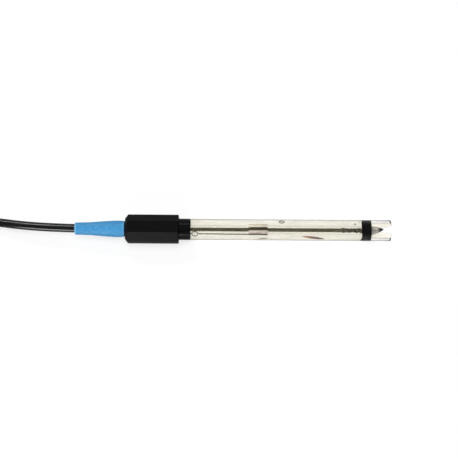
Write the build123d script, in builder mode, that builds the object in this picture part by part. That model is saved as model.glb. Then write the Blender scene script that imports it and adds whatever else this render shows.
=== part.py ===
from build123d import *
from math import cos, pi, radians, sin, sqrt, tan
import os

# A combination pH electrode with a gel-filled clear body, lying along X with its sensing tip at +X.
# It rests level on one flat of its octagonal cap. Its cable lies beside it as a tied hank.
# X = 0 is half way between the strain relief's cable end and the rim of the bulb guard.
# Z = 0 is the surface that it lies on.

# Body tube: one clear moulding whose wall runs on past the tip seal as the bulb guard
tube_diameter = 12.0
tube_wall = 1.3
tube_length = 114.7
tail_length = 16.0
tail_wall = 0.75
guard_length = 10.6
rim_bevel_length = 1.15
rim_bevel_depth = 0.7
rim_round = 0.3
notch_mouth = 5.0
notch_floor = 2.7
notch_depth = 6.6
notch_radius = 1.1
notch_turn = -5.0

# Glass stem, blown in one piece with its pointed sensing membrane
stem_diameter = 3.5
stem_wall = 0.5
stem_behind_nose = 11.0
neck_diameter = 4.7
neck_flare = 4.0
membrane_length = 6.8
membrane_wall = 0.4
membrane_tip_round = 0.5

# Tip seal and the porous junction that runs through it
seal_length = 5.2
seal_dome = 0.7
junction_diameter = 1.2

# Inner half cell: silver wire in buffer, closed by a rubber stopper in the top of the stem
buffer_behind_nose = 4.0
rope_diameter = 1.7
rope_behind_nose = 6.0
rope_to_membrane_tip = 4.2
lead_diameter = 0.8
lead_behind_nose = 16.6
stopper_shank = 3.0
stopper_head = 1.4
stopper_overhang = 0.5

# Reference half cell: a silver wire with an eye, soldered along an open silver chloride sleeve.
# The sleeve's opening and the wire are set round from straight up by these angles and offsets.
show_turn = 11.5
wire_diameter = 0.45
wire_side = 2.1
eye_height = 2.15
eye_setback = 0.95
eye_length = 3.2
eye_width = 2.2
wire_bend_radius = 5.0
wire_bend_lead = 3.0
sleeve_setback = 33.3
sleeve_length = 10.9
sleeve_wall = 0.5
sleeve_opening = 50.0
sleeve_opening_turn = 17.5

# Rubber bung that closes the gel chamber inside the cap's nose
bung_setback = 0.6
bung_length = 6.0

# Cap: octagonal grip with a round nose, moulded in one
cap_flats = 15.7
cap_sides = 8
cap_length = 30.7
cap_bevel_length = 1.8
cap_bevel_depth = 2.3
cap_edge_round = 0.5
nose_length = 6.7
nose_diameter = 12.2
nose_edge_round = 0.25
cap_bore_depth = 28.0

# Strain relief, moulded on the cable and plugged into the cap
boot_length = 28.9
boot_end_diameter = 6.9
boot_waist_diameter = 7.5
boot_swell_diameter = 9.45
boot_root_diameter = 9.35
boot_spigot_diameter = 7.2
boot_end_round = 0.35

# Coaxial cable
cable_diameter = 5.0
cable_hold = 19.0
braid_diameter = 3.8
dielectric_diameter = 3.0
conductor_diameter = 0.8
braid_behind_nose = 25.5
dielectric_behind_nose = 23.0
conductor_behind_nose = 16.9

# Crimped splices inside the cap
splice_wall = 0.4
core_splice_start = 14.0
core_splice_length = 5.5
wire_splice_start = 13.0
wire_splice_length = 5.0
pigtail_diameter = 0.7
pigtail_bend_radius = 2.0

# Fits
bond_gap = 0.02
cable_gap = 0.05
running_clearance = 0.05
lying_clearance = 0.3

# Hank of put-away cable: two layers of two turns, drawn in at the waist by a strap
strand_pitch = 5.2
fold_radius = 15.0
fold_reach = 27.0
hank_behind_boot = 99.2
hank_side = -13.0
hank_layers = 2
strap_width = 8.0
strap_thickness = 0.9
strap_round = 1.6

# Bayonet coaxial plug, lying on one side of the hank
plug_setback = 2.0
plug_offset = 14.0
ring_diameter = 14.5
ring_length = 17.0
ring_mouth_diameter = 11.2
ring_lip_length = 3.9
ring_edge_bevel = 0.5
ring_flutes = 24
ring_flute_radius = 0.45
ring_grip_start = 6.5
bayonet_groove_width = 2.2
bayonet_groove_depth = 0.9
bayonet_groove_length = 4.2
bayonet_window_diameter = 2.4
bayonet_window_setback = 4.6
bayonet_window_turn = 70.0
journal_diameter = 10.0
contact_diameter = 8.1
contact_wall = 0.5
contact_setback = 2.0
contact_slots = 4
contact_slot_width = 0.5
contact_slot_length = 5.5
flange_diameter = 11.0
flange_start = 10.9
flange_thickness = 1.5
washer_height = 0.65
washer_thickness = 0.3
gasket_thickness = 1.0
plug_shoulder_diameter = 11.6
plug_shoulder_length = 4.6
plug_shoulder_flats = 10.6
crimp_neck_diameter = 6.0
crimp_neck_length = 8.0
plug_bore_diameter = 3.1
insulator_setback = 4.6
pin_diameter = 1.36
pin_setback = 2.8
pin_tip = 0.6
pin_root_diameter = 2.2
pin_root_length = 5.0
ferrule_wall = 0.45
plug_boot_length = 18.0
plug_boot_front_diameter = 10.6
plug_boot_rear_diameter = 7.0

# Radii and places that follow from the sizes above
tube_radius = tube_diameter / 2
bore_radius = tube_radius - tube_wall
tail_radius = bore_radius + tail_wall
stem_radius = stem_diameter / 2
stem_bore = stem_radius - stem_wall
neck_radius = neck_diameter / 2
rope_radius = rope_diameter / 2
lead_radius = lead_diameter / 2
wire_radius = wire_diameter / 2
cable_radius = cable_diameter / 2
axis_height = cap_flats / 2
overall_length = boot_length + cap_length + nose_length + tube_length

rim_x = overall_length / 2
nose_x = rim_x - tube_length
cap_front_x = nose_x - nose_length
cap_back_x = cap_front_x - cap_length
boot_end_x = cap_back_x - boot_length
tail_x = nose_x - tail_length
seal_front_x = rim_x - guard_length - seal_dome
seal_back_x = seal_front_x - seal_length
neck_x = seal_front_x + seal_dome
membrane_tip_x = neck_x + membrane_length
stem_top_x = nose_x - stem_behind_nose
bung_front_x = nose_x - bung_setback
bung_back_x = bung_front_x - bung_length
cap_bore_end_x = nose_x - cap_bore_depth
cable_start_x = boot_end_x + cable_hold

main_axis = Axis((0, 0, axis_height), (1, 0, 0))
section_plane = Plane(origin=(0, 0, axis_height), x_dir=(1, 0, 0), z_dir=(0, -1, 0))


def turned_plane(turn):
    """Plane through the electrode's axis whose normal stands this many degrees from +Z towards -Y."""
    normal = (0, -sin(radians(turn)), cos(radians(turn)))
    return Plane(origin=(0, 0, axis_height), x_dir=(1, 0, 0), z_dir=normal)


def half_section(plane, *points):
    """Closed face in a plane through an axis, from its corners as (along, radius)."""
    with BuildSketch(plane) as section:
        with BuildLine():
            Polyline(*points, close=True)
        make_face()
    return section.sketch


def bend_radii(points):
    """Radius at each corner of a route: as large as its two runs allow."""
    radii = []
    for before, corner, after in zip(points, points[1:], points[2:]):
        run_in = Vector(*corner) - Vector(*before)
        run_out = Vector(*after) - Vector(*corner)
        half_turn = radians(run_in.get_angle(run_out)) / 2
        radii.append(0.45 * min(run_in.length, run_out.length) / tan(half_turn))
    return radii


show_plane = turned_plane(show_turn)

# Body tube, its stepped tail and the bulb guard with two opposite notches
with BuildPart() as body_tube:
    tube_section = half_section(
        section_plane,
        (tail_x, bore_radius),
        (tail_x, tail_radius),
        (nose_x, tail_radius),
        (nose_x, tube_radius),
        (rim_x - rim_round, tube_radius),
        (rim_x, tube_radius - rim_round),
        (rim_x, bore_radius + rim_bevel_depth),
        (rim_x - rim_bevel_length, bore_radius),
    )
    revolve(tube_section, axis=main_axis)
    with BuildSketch(turned_plane(show_turn + notch_turn)) as notch:
        with BuildLine():
            Polyline(
                (rim_x + rim_round, notch_mouth / 2),
                (rim_x - notch_depth, notch_floor / 2),
                (rim_x - notch_depth, -notch_floor / 2),
                (rim_x + rim_round, -notch_mouth / 2),
                close=True,
            )
        make_face()
        fillet(notch.vertices().group_by(Axis.X)[0], radius=notch_radius)
    extrude(amount=tube_radius, both=True, mode=Mode.SUBTRACT)


def stem_outline(radius, neck, length, tip_round):
    """Half outline of the stem from its top to its pointed end, by its radii and the point's length."""
    return [
        Line((stem_top_x, 0), (stem_top_x, radius)),
        Line((stem_top_x, radius), (flare_start_x, radius)),
        Spline((flare_start_x, radius), (neck_x, neck), tangents=[(1, 0), (1, 0)]),
        Spline(
            (neck_x, neck),
            (neck_x + length * 0.55, neck * 0.68),
            (neck_x + length - tip_round, tip_round),
            (neck_x + length, 0),
            tangents=[(1, 0), (0, -1)],
        ),
        Line((neck_x + length, 0), (stem_top_x, 0)),
    ]


# Glass stem: a tube that flares inside the tip seal and ends in a pointed hollow membrane
membrane_hollow = membrane_length - 1.5 * membrane_wall
neck_bore = neck_radius - membrane_wall
flare_start_x = neck_x - neck_flare
with BuildPart() as stem_solid:
    with BuildSketch(section_plane):
        with BuildLine():
            add(stem_outline(stem_radius, neck_radius, membrane_length, membrane_tip_round))
        make_face()
    revolve(axis=main_axis)

# Everything inside the glass: the space for buffer, air and wire
with BuildPart() as stem_hollow:
    with BuildSketch(section_plane):
        with BuildLine():
            add(stem_outline(stem_bore, neck_bore, membrane_hollow, membrane_tip_round))
        make_face()
    revolve(axis=main_axis)

with BuildPart() as glass_stem:
    add(stem_solid.part)
    add(stem_hollow.part, mode=Mode.SUBTRACT)

# Inner wire: a wound silver rope in the buffer, drawn down to a plain lead behind it
rope_back_x = nose_x - rope_behind_nose
rope_front_x = membrane_tip_x - rope_to_membrane_tip
lead_back_x = nose_x - lead_behind_nose
with BuildPart() as inner_wire:
    wire_section = half_section(
        section_plane,
        (lead_back_x, 0),
        (lead_back_x, lead_radius),
        (rope_back_x, lead_radius),
        (rope_back_x + lead_radius, rope_radius),
        (rope_front_x - lead_radius, rope_radius),
        (rope_front_x, lead_radius),
        (rope_front_x, 0),
    )
    revolve(wire_section, axis=main_axis)

# Inner buffer, up to its level in the stem
buffer_back_x = nose_x - buffer_behind_nose
with BuildPart() as inner_buffer:
    buffer_section = half_section(
        section_plane,
        (buffer_back_x, 0),
        (buffer_back_x, neck_radius),
        (membrane_tip_x, neck_radius),
        (membrane_tip_x, 0),
    )
    revolve(buffer_section, axis=main_axis)
    add(stem_hollow.part, mode=Mode.INTERSECT)
    add(inner_wire.part, mode=Mode.SUBTRACT)

# Rubber stopper in the top of the stem, with the lead through it
stopper_back_x = stem_top_x - stopper_head
with BuildPart() as stem_stopper:
    stopper_section = half_section(
        section_plane,
        (stopper_back_x, lead_radius),
        (stopper_back_x, stem_radius + stopper_overhang),
        (stem_top_x, stem_radius + stopper_overhang),
        (stem_top_x, stem_bore),
        (stem_top_x + stopper_shank, stem_bore),
        (stem_top_x + stopper_shank, lead_radius),
    )
    revolve(stopper_section, axis=main_axis)

# Tip seal: a cast black plug with a domed face, between the bore and the flared glass
dome_radius = (bore_radius ** 2 + seal_dome ** 2) / (2 * seal_dome)
with BuildPart() as seal_solid:
    with BuildSketch(section_plane):
        with BuildLine():
            Polyline((neck_x, 0), (seal_back_x, 0), (seal_back_x, bore_radius))
            Line((seal_back_x, bore_radius), (seal_front_x, bore_radius))
            RadiusArc((seal_front_x, bore_radius), (neck_x, 0), radius=dome_radius)
        make_face()
    revolve(axis=main_axis)

# Porous junction pin, half way between the glass and the bore, trimmed to the seal's two faces
junction_radius_from_axis = (neck_radius + bore_radius) / 2
with BuildPart() as junction_pin:
    with BuildSketch(Plane(origin=(seal_back_x, 0, axis_height), x_dir=(0, 1, 0), z_dir=(1, 0, 0))):
        with Locations((-junction_radius_from_axis, 0)):
            Circle(junction_diameter / 2)
    extrude(amount=seal_length + seal_dome)
    add(seal_solid.part, mode=Mode.INTERSECT)

with BuildPart() as tip_seal:
    add(seal_solid.part)
    add(stem_solid.part, mode=Mode.SUBTRACT)
    add(junction_pin.part, mode=Mode.SUBTRACT)

# Reference element: a silver chloride sleeve round the stem, open on one side
sleeve_inner = stem_radius + bond_gap
sleeve_outer = sleeve_inner + sleeve_wall
sleeve_start_x = nose_x + sleeve_setback
opening_edge = show_turn - sleeve_opening_turn + sleeve_opening / 2
with BuildPart() as reference_element:
    edge_plane = Plane(
        origin=(0, 0, axis_height),
        x_dir=(1, 0, 0),
        z_dir=(0, -cos(radians(opening_edge)), -sin(radians(opening_edge))),
    )
    sleeve_section = half_section(
        edge_plane,
        (sleeve_start_x, sleeve_inner),
        (sleeve_start_x, sleeve_outer),
        (sleeve_start_x + sleeve_length, sleeve_outer),
        (sleeve_start_x + sleeve_length, sleeve_inner),
    )
    revolve(sleeve_section, axis=main_axis, revolution_arc=360 - sleeve_opening)

# Reference wire: a plain lead from its splice, an eye just inside the gel, and a run to the sleeve
wire_low = sqrt((sleeve_outer + bond_gap + wire_radius) ** 2 - wire_side ** 2)
eye_back_x = nose_x + eye_setback
eye_middle_x = eye_back_x + eye_length / 2
eye_front_x = eye_back_x + eye_length
wire_back_x = nose_x - wire_splice_start - wire_splice_length / 2
eye_plane = show_plane.offset(eye_height)
with BuildPart() as reference_wire:
    with BuildLine(eye_plane) as eye_path:
        for start in (90, 270):
            EllipticalCenterArc(
                (eye_middle_x, -wire_side), eye_length / 2, eye_width / 2, start, arc_size=180
            )
    with BuildSketch(Plane(origin=eye_path.line @ 0, z_dir=eye_path.line % 0)):
        Circle(wire_radius)
    sweep(path=eye_path.line)
    with BuildLine() as run_path:
        FilletPolyline(
            show_plane.from_local_coords((eye_front_x, -wire_side, eye_height)),
            show_plane.from_local_coords((sleeve_start_x - wire_bend_lead, -wire_side, wire_low)),
            show_plane.from_local_coords((sleeve_start_x + sleeve_length, -wire_side, wire_low)),
            radius=wire_bend_radius,
        )
    with BuildSketch(Plane(origin=run_path.line @ 0, z_dir=run_path.line % 0)):
        Circle(wire_radius)
    sweep(path=run_path.line)
    with BuildSketch(Plane(origin=show_plane.from_local_coords((wire_back_x, -wire_side, eye_height)),
                           z_dir=(1, 0, 0))):
        Circle(wire_radius)
    extrude(amount=eye_back_x - wire_back_x)

# Bung: closes the gel chamber, with the stem and the reference wire through it
with BuildPart() as gel_bung:
    bung_section = half_section(
        section_plane,
        (bung_back_x, stem_radius),
        (bung_back_x, bore_radius),
        (bung_front_x, bore_radius),
        (bung_front_x, stem_radius),
    )
    revolve(bung_section, axis=main_axis)
    add(reference_wire.part, mode=Mode.SUBTRACT)

# Gel electrolyte: fills the tube from the bung to the tip seal
with BuildPart() as electrolyte_gel:
    gel_section = half_section(
        section_plane,
        (bung_front_x, 0),
        (bung_front_x, bore_radius),
        (seal_back_x, bore_radius),
        (seal_back_x, 0),
    )
    revolve(gel_section, axis=main_axis)
    add(stem_solid.part, mode=Mode.SUBTRACT)
    add(reference_element.part, mode=Mode.SUBTRACT)
    add(reference_wire.part, mode=Mode.SUBTRACT)

# Cap: octagonal grip with a bevelled cable end and a round nose, bored from the nose end
socket_radius = tail_radius + bond_gap
spigot_radius = boot_spigot_diameter / 2
cap_corner_radius = cap_flats / 2 / cos(pi / cap_sides)
with BuildPart() as cap:
    with BuildSketch(Plane(origin=(cap_back_x, 0, axis_height), x_dir=(0, 1, 0), z_dir=(1, 0, 0))):
        RegularPolygon(
            radius=cap_flats / 2,
            side_count=cap_sides,
            major_radius=False,
            rotation=180 / cap_sides,
        )
    extrude(amount=cap_length)
    fillet(cap.edges().filter_by(Axis.X), radius=cap_edge_round)
    fillet(cap.faces().sort_by(Axis.X)[-1].edges(), radius=cap_edge_round)
    bevel_cone = half_section(
        section_plane,
        (cap_back_x, cap_corner_radius - cap_bevel_depth),
        (cap_back_x + cap_bevel_length, cap_corner_radius),
        (cap_back_x + cap_bevel_length, cap_corner_radius + cap_bevel_depth),
        (cap_back_x, cap_corner_radius + cap_bevel_depth),
    )
    revolve(bevel_cone, axis=main_axis, mode=Mode.SUBTRACT)
    nose_section = half_section(
        section_plane,
        (cap_front_x, 0),
        (cap_front_x, nose_diameter / 2),
        (nose_x - nose_edge_round, nose_diameter / 2),
        (nose_x, nose_diameter / 2 - nose_edge_round),
        (nose_x, 0),
    )
    revolve(nose_section, axis=main_axis)
    bore_section = half_section(
        section_plane,
        (nose_x, 0),
        (nose_x, socket_radius),
        (cap_bore_end_x, socket_radius),
        (cap_bore_end_x, spigot_radius),
        (cap_back_x, spigot_radius),
        (cap_back_x, 0),
    )
    revolve(bore_section, axis=main_axis, mode=Mode.SUBTRACT)

# Strain relief: a smooth boot that swells towards the cap, with a spigot through the cap's end wall
jacket_bore = cable_radius + cable_gap
braid_radius = braid_diameter / 2
with BuildPart() as strain_relief:
    with BuildSketch(section_plane):
        with BuildLine():
            Polyline(
                (boot_end_x + boot_end_round, boot_end_diameter / 2),
                (boot_end_x, boot_end_diameter / 2 - boot_end_round),
                (boot_end_x, jacket_bore),
                (cable_start_x, jacket_bore),
                (cable_start_x, braid_radius),
                (cap_bore_end_x, braid_radius),
                (cap_bore_end_x, spigot_radius),
                (cap_back_x, spigot_radius),
                (cap_back_x, boot_root_diameter / 2),
            )
            Spline(
                (cap_back_x, boot_root_diameter / 2),
                (cap_back_x - boot_length / 6, boot_swell_diameter / 2),
                (cap_back_x - boot_length * 2 / 3, boot_waist_diameter / 2),
                (boot_end_x + boot_end_round, boot_end_diameter / 2),
            )
        make_face()
    revolve(axis=main_axis)

# Stripped end of the cable, from inside the boot to the splices
dielectric_radius = dielectric_diameter / 2
conductor_radius = conductor_diameter / 2
braid_end_x = nose_x - braid_behind_nose
dielectric_end_x = nose_x - dielectric_behind_nose
conductor_end_x = nose_x - conductor_behind_nose
wire_splice_x = nose_x - wire_splice_start - wire_splice_length
splice_mouth = show_plane.from_local_coords((wire_splice_x, -wire_side, eye_height))
with BuildPart() as core_conductor:
    conductor_section = half_section(
        section_plane,
        (cable_start_x, 0),
        (cable_start_x, conductor_radius),
        (conductor_end_x, conductor_radius),
        (conductor_end_x, 0),
    )
    revolve(conductor_section, axis=main_axis)

with BuildPart() as core_dielectric:
    dielectric_section = half_section(
        section_plane,
        (cable_start_x, conductor_radius),
        (cable_start_x, dielectric_radius),
        (dielectric_end_x, dielectric_radius),
        (dielectric_end_x, conductor_radius),
    )
    revolve(dielectric_section, axis=main_axis)

# Braid, gathered beyond its end into a pigtail that reaches the reference splice
pigtail_radius = pigtail_diameter / 2
pigtail_root = show_plane.from_local_coords(
    (braid_end_x - pigtail_radius, -(dielectric_radius + pigtail_radius) * wire_side / 3,
     (dielectric_radius + pigtail_radius) * eye_height / 3)
)
with BuildPart() as cable_braid:
    braid_section = half_section(
        section_plane,
        (cable_start_x, dielectric_radius),
        (cable_start_x, braid_radius),
        (braid_end_x, braid_radius),
        (braid_end_x, dielectric_radius),
    )
    revolve(braid_section, axis=main_axis)
    with BuildLine() as pigtail_path:
        FilletPolyline(
            pigtail_root,
            splice_mouth - Vector(4 * pigtail_radius, 0, 0),
            splice_mouth + Vector(wire_splice_length * 0.4, 0, 0),
            radius=pigtail_bend_radius,
        )
    with BuildSketch(Plane(origin=pigtail_path.line @ 0, z_dir=pigtail_path.line % 0)):
        Circle(pigtail_radius)
    sweep(path=pigtail_path.line)

# Crimp sleeves: one on the axis, one on the reference wire
core_splice_x = nose_x - core_splice_start - core_splice_length
with BuildPart() as core_splice:
    with BuildSketch(Plane(origin=(core_splice_x, 0, axis_height), z_dir=(1, 0, 0))):
        Circle(lead_radius + splice_wall)
    extrude(amount=core_splice_length)
    add(inner_wire.part, mode=Mode.SUBTRACT)
    add(core_conductor.part, mode=Mode.SUBTRACT)

with BuildPart() as reference_splice:
    with BuildSketch(Plane(origin=splice_mouth, z_dir=(1, 0, 0))):
        Circle(pigtail_radius + splice_wall)
    extrude(amount=wire_splice_length)
    add(reference_wire.part, mode=Mode.SUBTRACT)
    add(cable_braid.part, mode=Mode.SUBTRACT)

# Potting: cast round the splices, from the bung back to the strain relief's spigot
with BuildPart() as potting:
    potting_section = half_section(
        section_plane,
        (bung_back_x, 0),
        (bung_back_x, bore_radius),
        (tail_x, bore_radius),
        (tail_x, socket_radius),
        (cap_bore_end_x, socket_radius),
        (cap_bore_end_x, 0),
    )
    revolve(potting_section, axis=main_axis)
    add(stem_solid.part, mode=Mode.SUBTRACT)
    for held in (inner_wire, reference_wire, stem_stopper, core_splice, reference_splice,
                 core_conductor, core_dielectric, cable_braid):
        add(held.part, mode=Mode.SUBTRACT)

# Cable: straight out of the boot, down to the surface and along it to the hank
hank_x = boot_end_x - hank_behind_boot
lead_in_side = hank_side + fold_radius + strand_pitch
cable_route = [
    (cable_start_x, 0, axis_height),
    (boot_end_x - 17.0, 0, axis_height),
    (boot_end_x - 53.5, 5.4, cable_radius),
    (hank_x + fold_reach, lead_in_side, cable_radius),
]
with BuildPart() as cable:
    with BuildLine() as cable_path:
        FilletPolyline(*cable_route, radius=bend_radii(cable_route))
    with BuildSketch(Plane(origin=cable_path.line @ 0, z_dir=cable_path.line % 0)):
        Circle(cable_radius)
    sweep(path=cable_path.line)

# Hank: the outer shape of two layers of folded turns, waisted under the strap, with an eye in each fold
hank_height = hank_layers * strand_pitch - (strand_pitch - cable_diameter)
hank_end_radius = fold_radius + strand_pitch + cable_radius
hank_eye_radius = fold_radius - cable_radius
waist_half = 2 * strand_pitch
strap_half = strap_width / 2
eye_point = strap_half + strand_pitch
with BuildPart() as cable_hank:
    with BuildSketch(Plane(origin=(hank_x, hank_side, 0))):
        with BuildLine():
            Line((0, waist_half), (strap_half, waist_half))
            Spline((strap_half, waist_half), (fold_reach, hank_end_radius), tangents=[(1, 0), (1, 0)])
            ThreePointArc(
                (fold_reach, hank_end_radius),
                (fold_reach + hank_end_radius, 0),
                (fold_reach, -hank_end_radius),
            )
            Spline((fold_reach, -hank_end_radius), (strap_half, -waist_half), tangents=[(-1, 0), (-1, 0)])
            Line((strap_half, -waist_half), (0, -waist_half))
            mirror(about=Plane.YZ)
        make_face()
        with BuildLine() as eye_line:
            ThreePointArc(
                (fold_reach, hank_eye_radius),
                (fold_reach + hank_eye_radius, 0),
                (fold_reach, -hank_eye_radius),
            )
            Spline((fold_reach, -hank_eye_radius), (eye_point, 0), tangents=[(-1, 0), (-2, 1)])
            Spline((eye_point, 0), (fold_reach, hank_eye_radius), tangents=[(2, 1), (1, 0)])
        make_face(mode=Mode.SUBTRACT)
        make_face(mirror(eye_line.line, about=Plane.YZ, mode=Mode.PRIVATE).edges(), mode=Mode.SUBTRACT)
    extrude(amount=hank_height)
    with BuildSketch(Plane(origin=(hank_x, hank_side, 0))):
        Rectangle(strap_width, 4 * waist_half)
    extrude(amount=strap_thickness, mode=Mode.SUBTRACT)
    with BuildSketch(Plane(origin=(hank_x, hank_side, hank_height))):
        Rectangle(strap_width, 2 * waist_half)
    extrude(amount=strap_thickness)

# Strap round the waist of the hank
strap_middle = strap_thickness + hank_height / 2
with BuildPart() as hank_strap:
    with BuildSketch(Plane(origin=(hank_x - strap_width / 2, hank_side, strap_middle),
                           x_dir=(0, 1, 0), z_dir=(1, 0, 0))):
        RectangleRounded(2 * (waist_half + strap_thickness), hank_height + 2 * strap_thickness, strap_round)
        Rectangle(2 * waist_half, hank_height, mode=Mode.SUBTRACT)
    extrude(amount=strap_width)

# Plug: it lies on the hank, pointing along +X. Lengths along it run back from its mouth.
plug_front_x = hank_x + fold_reach + hank_end_radius - plug_setback
plug_side = hank_side - plug_offset
plug_height = hank_height + ring_diameter / 2 + lying_clearance
plug_axis = Axis((plug_front_x, plug_side, plug_height), (1, 0, 0))
plug_plane = Plane(origin=(plug_front_x, plug_side, plug_height), x_dir=(-1, 0, 0), z_dir=(0, 1, 0))
flange_end = flange_start + flange_thickness
lip_start = ring_length - ring_lip_length
shoulder_start = ring_length + running_clearance
shoulder_end = shoulder_start + plug_shoulder_length
neck_end = shoulder_end + crimp_neck_length
ring_radius = ring_diameter / 2
mouth_radius = ring_mouth_diameter / 2
journal_radius = journal_diameter / 2
contact_radius = contact_diameter / 2
contact_bore = contact_radius - contact_wall
neck_outer = crimp_neck_diameter / 2
plug_bore = plug_bore_diameter / 2


def across_plug(along):
    """Plane across the plug at this length behind its mouth, looking back along it."""
    return Plane(origin=(plug_front_x - along, plug_side, plug_height), x_dir=(0, 1, 0), z_dir=(-1, 0, 0))


# Plug body: slotted contact, flange, journal for the ring, flatted shoulder and crimp neck, in one
with BuildPart() as plug_body:
    body_section = half_section(
        plug_plane,
        (contact_setback, contact_bore),
        (contact_setback, contact_radius),
        (flange_start, contact_radius),
        (flange_start, flange_diameter / 2),
        (flange_end, flange_diameter / 2),
        (flange_end, journal_radius),
        (shoulder_start, journal_radius),
        (shoulder_start, plug_shoulder_diameter / 2),
        (shoulder_end, plug_shoulder_diameter / 2),
        (shoulder_end, neck_outer),
        (neck_end, neck_outer),
        (neck_end, plug_bore),
        (flange_end, plug_bore),
        (flange_end, contact_bore),
    )
    revolve(body_section, axis=plug_axis)
    with BuildSketch(across_plug(contact_setback)):
        with PolarLocations(0, contact_slots):
            with Locations((contact_radius, 0)):
                Rectangle(contact_diameter - contact_bore, contact_slot_width)
    extrude(amount=contact_slot_length, mode=Mode.SUBTRACT)
    with BuildSketch(across_plug(shoulder_start)):
        Circle(plug_shoulder_diameter)
        Rectangle(2 * plug_shoulder_diameter, plug_shoulder_flats, mode=Mode.SUBTRACT)
    extrude(amount=plug_shoulder_length, mode=Mode.SUBTRACT)

# Plug insulator and centre pin
pin_radius = pin_diameter / 2
pin_root_radius = pin_root_diameter / 2
pin_root_start = flange_end - pin_root_length / 2
pin_end = flange_end
with BuildPart() as plug_insulator:
    insulator_section = half_section(
        plug_plane,
        (insulator_setback, pin_radius),
        (insulator_setback, contact_bore),
        (flange_end, contact_bore),
        (flange_end, pin_root_radius),
        (pin_root_start, pin_root_radius),
        (pin_root_start, pin_radius),
    )
    revolve(insulator_section, axis=plug_axis)

with BuildPart() as plug_pin:
    pin_section = half_section(
        plug_plane,
        (pin_setback, 0),
        (pin_setback, pin_radius - pin_tip / 2),
        (pin_setback + pin_tip, pin_radius),
        (pin_root_start, pin_radius),
        (pin_root_start, pin_root_radius),
        (pin_end, pin_root_radius),
        (pin_end, 0),
    )
    revolve(pin_section, axis=plug_axis)

# Gasket in front of the flange, sprung washer behind it
with BuildPart() as plug_gasket:
    gasket_section = half_section(
        plug_plane,
        (flange_start - gasket_thickness, contact_radius),
        (flange_start - gasket_thickness, flange_diameter / 2),
        (flange_start, flange_diameter / 2),
        (flange_start, contact_radius),
    )
    revolve(gasket_section, axis=plug_axis)

with BuildPart() as plug_spring_washer:
    washer_section = half_section(
        plug_plane,
        (flange_end, journal_radius + running_clearance),
        (flange_end + washer_height - washer_thickness, flange_diameter / 2),
        (flange_end + washer_height, flange_diameter / 2),
        (flange_end + washer_thickness, journal_radius + running_clearance),
    )
    revolve(washer_section, axis=plug_axis)

# Coupling ring: turns on the body's journal, with two bayonet tracks and a fluted grip
with BuildPart() as plug_ring:
    ring_section = half_section(
        plug_plane,
        (0, mouth_radius),
        (0, ring_radius - ring_edge_bevel),
        (ring_edge_bevel, ring_radius),
        (ring_length - ring_edge_bevel, ring_radius),
        (ring_length, ring_radius - ring_edge_bevel),
        (ring_length, journal_radius + running_clearance),
        (lip_start, journal_radius + running_clearance),
        (lip_start, mouth_radius),
    )
    revolve(ring_section, axis=plug_axis)
    with BuildSketch(across_plug(0)):
        with PolarLocations(mouth_radius, 2, start_angle=90):
            Rectangle(2 * bayonet_groove_depth, bayonet_groove_width)
    extrude(amount=bayonet_groove_length, mode=Mode.SUBTRACT)
    track_section = half_section(
        plug_plane,
        (bayonet_groove_length - bayonet_groove_width, mouth_radius),
        (bayonet_groove_length - bayonet_groove_width, mouth_radius + bayonet_groove_depth),
        (bayonet_groove_length, mouth_radius + bayonet_groove_depth),
        (bayonet_groove_length, mouth_radius),
    )
    revolve(track_section, axis=plug_axis, revolution_arc=bayonet_window_turn, mode=Mode.SUBTRACT)
    opposite_plane = Plane(origin=plug_plane.origin, x_dir=(-1, 0, 0), z_dir=(0, -1, 0))
    opposite_track = half_section(
        opposite_plane,
        (bayonet_groove_length - bayonet_groove_width, mouth_radius),
        (bayonet_groove_length - bayonet_groove_width, mouth_radius + bayonet_groove_depth),
        (bayonet_groove_length, mouth_radius + bayonet_groove_depth),
        (bayonet_groove_length, mouth_radius),
    )
    revolve(opposite_track, axis=plug_axis, revolution_arc=bayonet_window_turn, mode=Mode.SUBTRACT)
    window_turn = radians(bayonet_window_turn)
    window_plane = Plane(
        origin=(plug_front_x - bayonet_window_setback, plug_side, plug_height),
        x_dir=(1, 0, 0),
        z_dir=(0, -sin(window_turn), cos(window_turn)),
    )
    with BuildSketch(window_plane):
        Circle(bayonet_window_diameter / 2)
    extrude(amount=ring_radius + ring_edge_bevel, both=True, mode=Mode.SUBTRACT)
    with BuildSketch(across_plug(ring_grip_start)):
        with PolarLocations(ring_radius, ring_flutes):
            Circle(ring_flute_radius)
    extrude(amount=ring_length, mode=Mode.SUBTRACT)

# Crimp ferrule over the neck, and a rubber boot over that
ferrule_outer = neck_outer + ferrule_wall
with BuildPart() as plug_ferrule:
    ferrule_section = half_section(
        plug_plane,
        (shoulder_end, neck_outer),
        (shoulder_end, ferrule_outer),
        (neck_end, ferrule_outer),
        (neck_end, neck_outer),
    )
    revolve(ferrule_section, axis=plug_axis)

plug_boot_end = shoulder_end + plug_boot_length
with BuildPart() as plug_boot:
    with BuildSketch(plug_plane):
        with BuildLine():
            Polyline(
                (shoulder_end, plug_boot_front_diameter / 2),
                (shoulder_end, ferrule_outer),
                (neck_end, ferrule_outer),
                (neck_end, jacket_bore),
                (plug_boot_end, jacket_bore),
                (plug_boot_end, plug_boot_rear_diameter / 2),
            )
            Spline(
                (plug_boot_end, plug_boot_rear_diameter / 2),
                (shoulder_end, plug_boot_front_diameter / 2),
                tangents=[(-1, 0), (-1, 0)],
            )
        make_face()
    revolve(axis=plug_axis)

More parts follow.
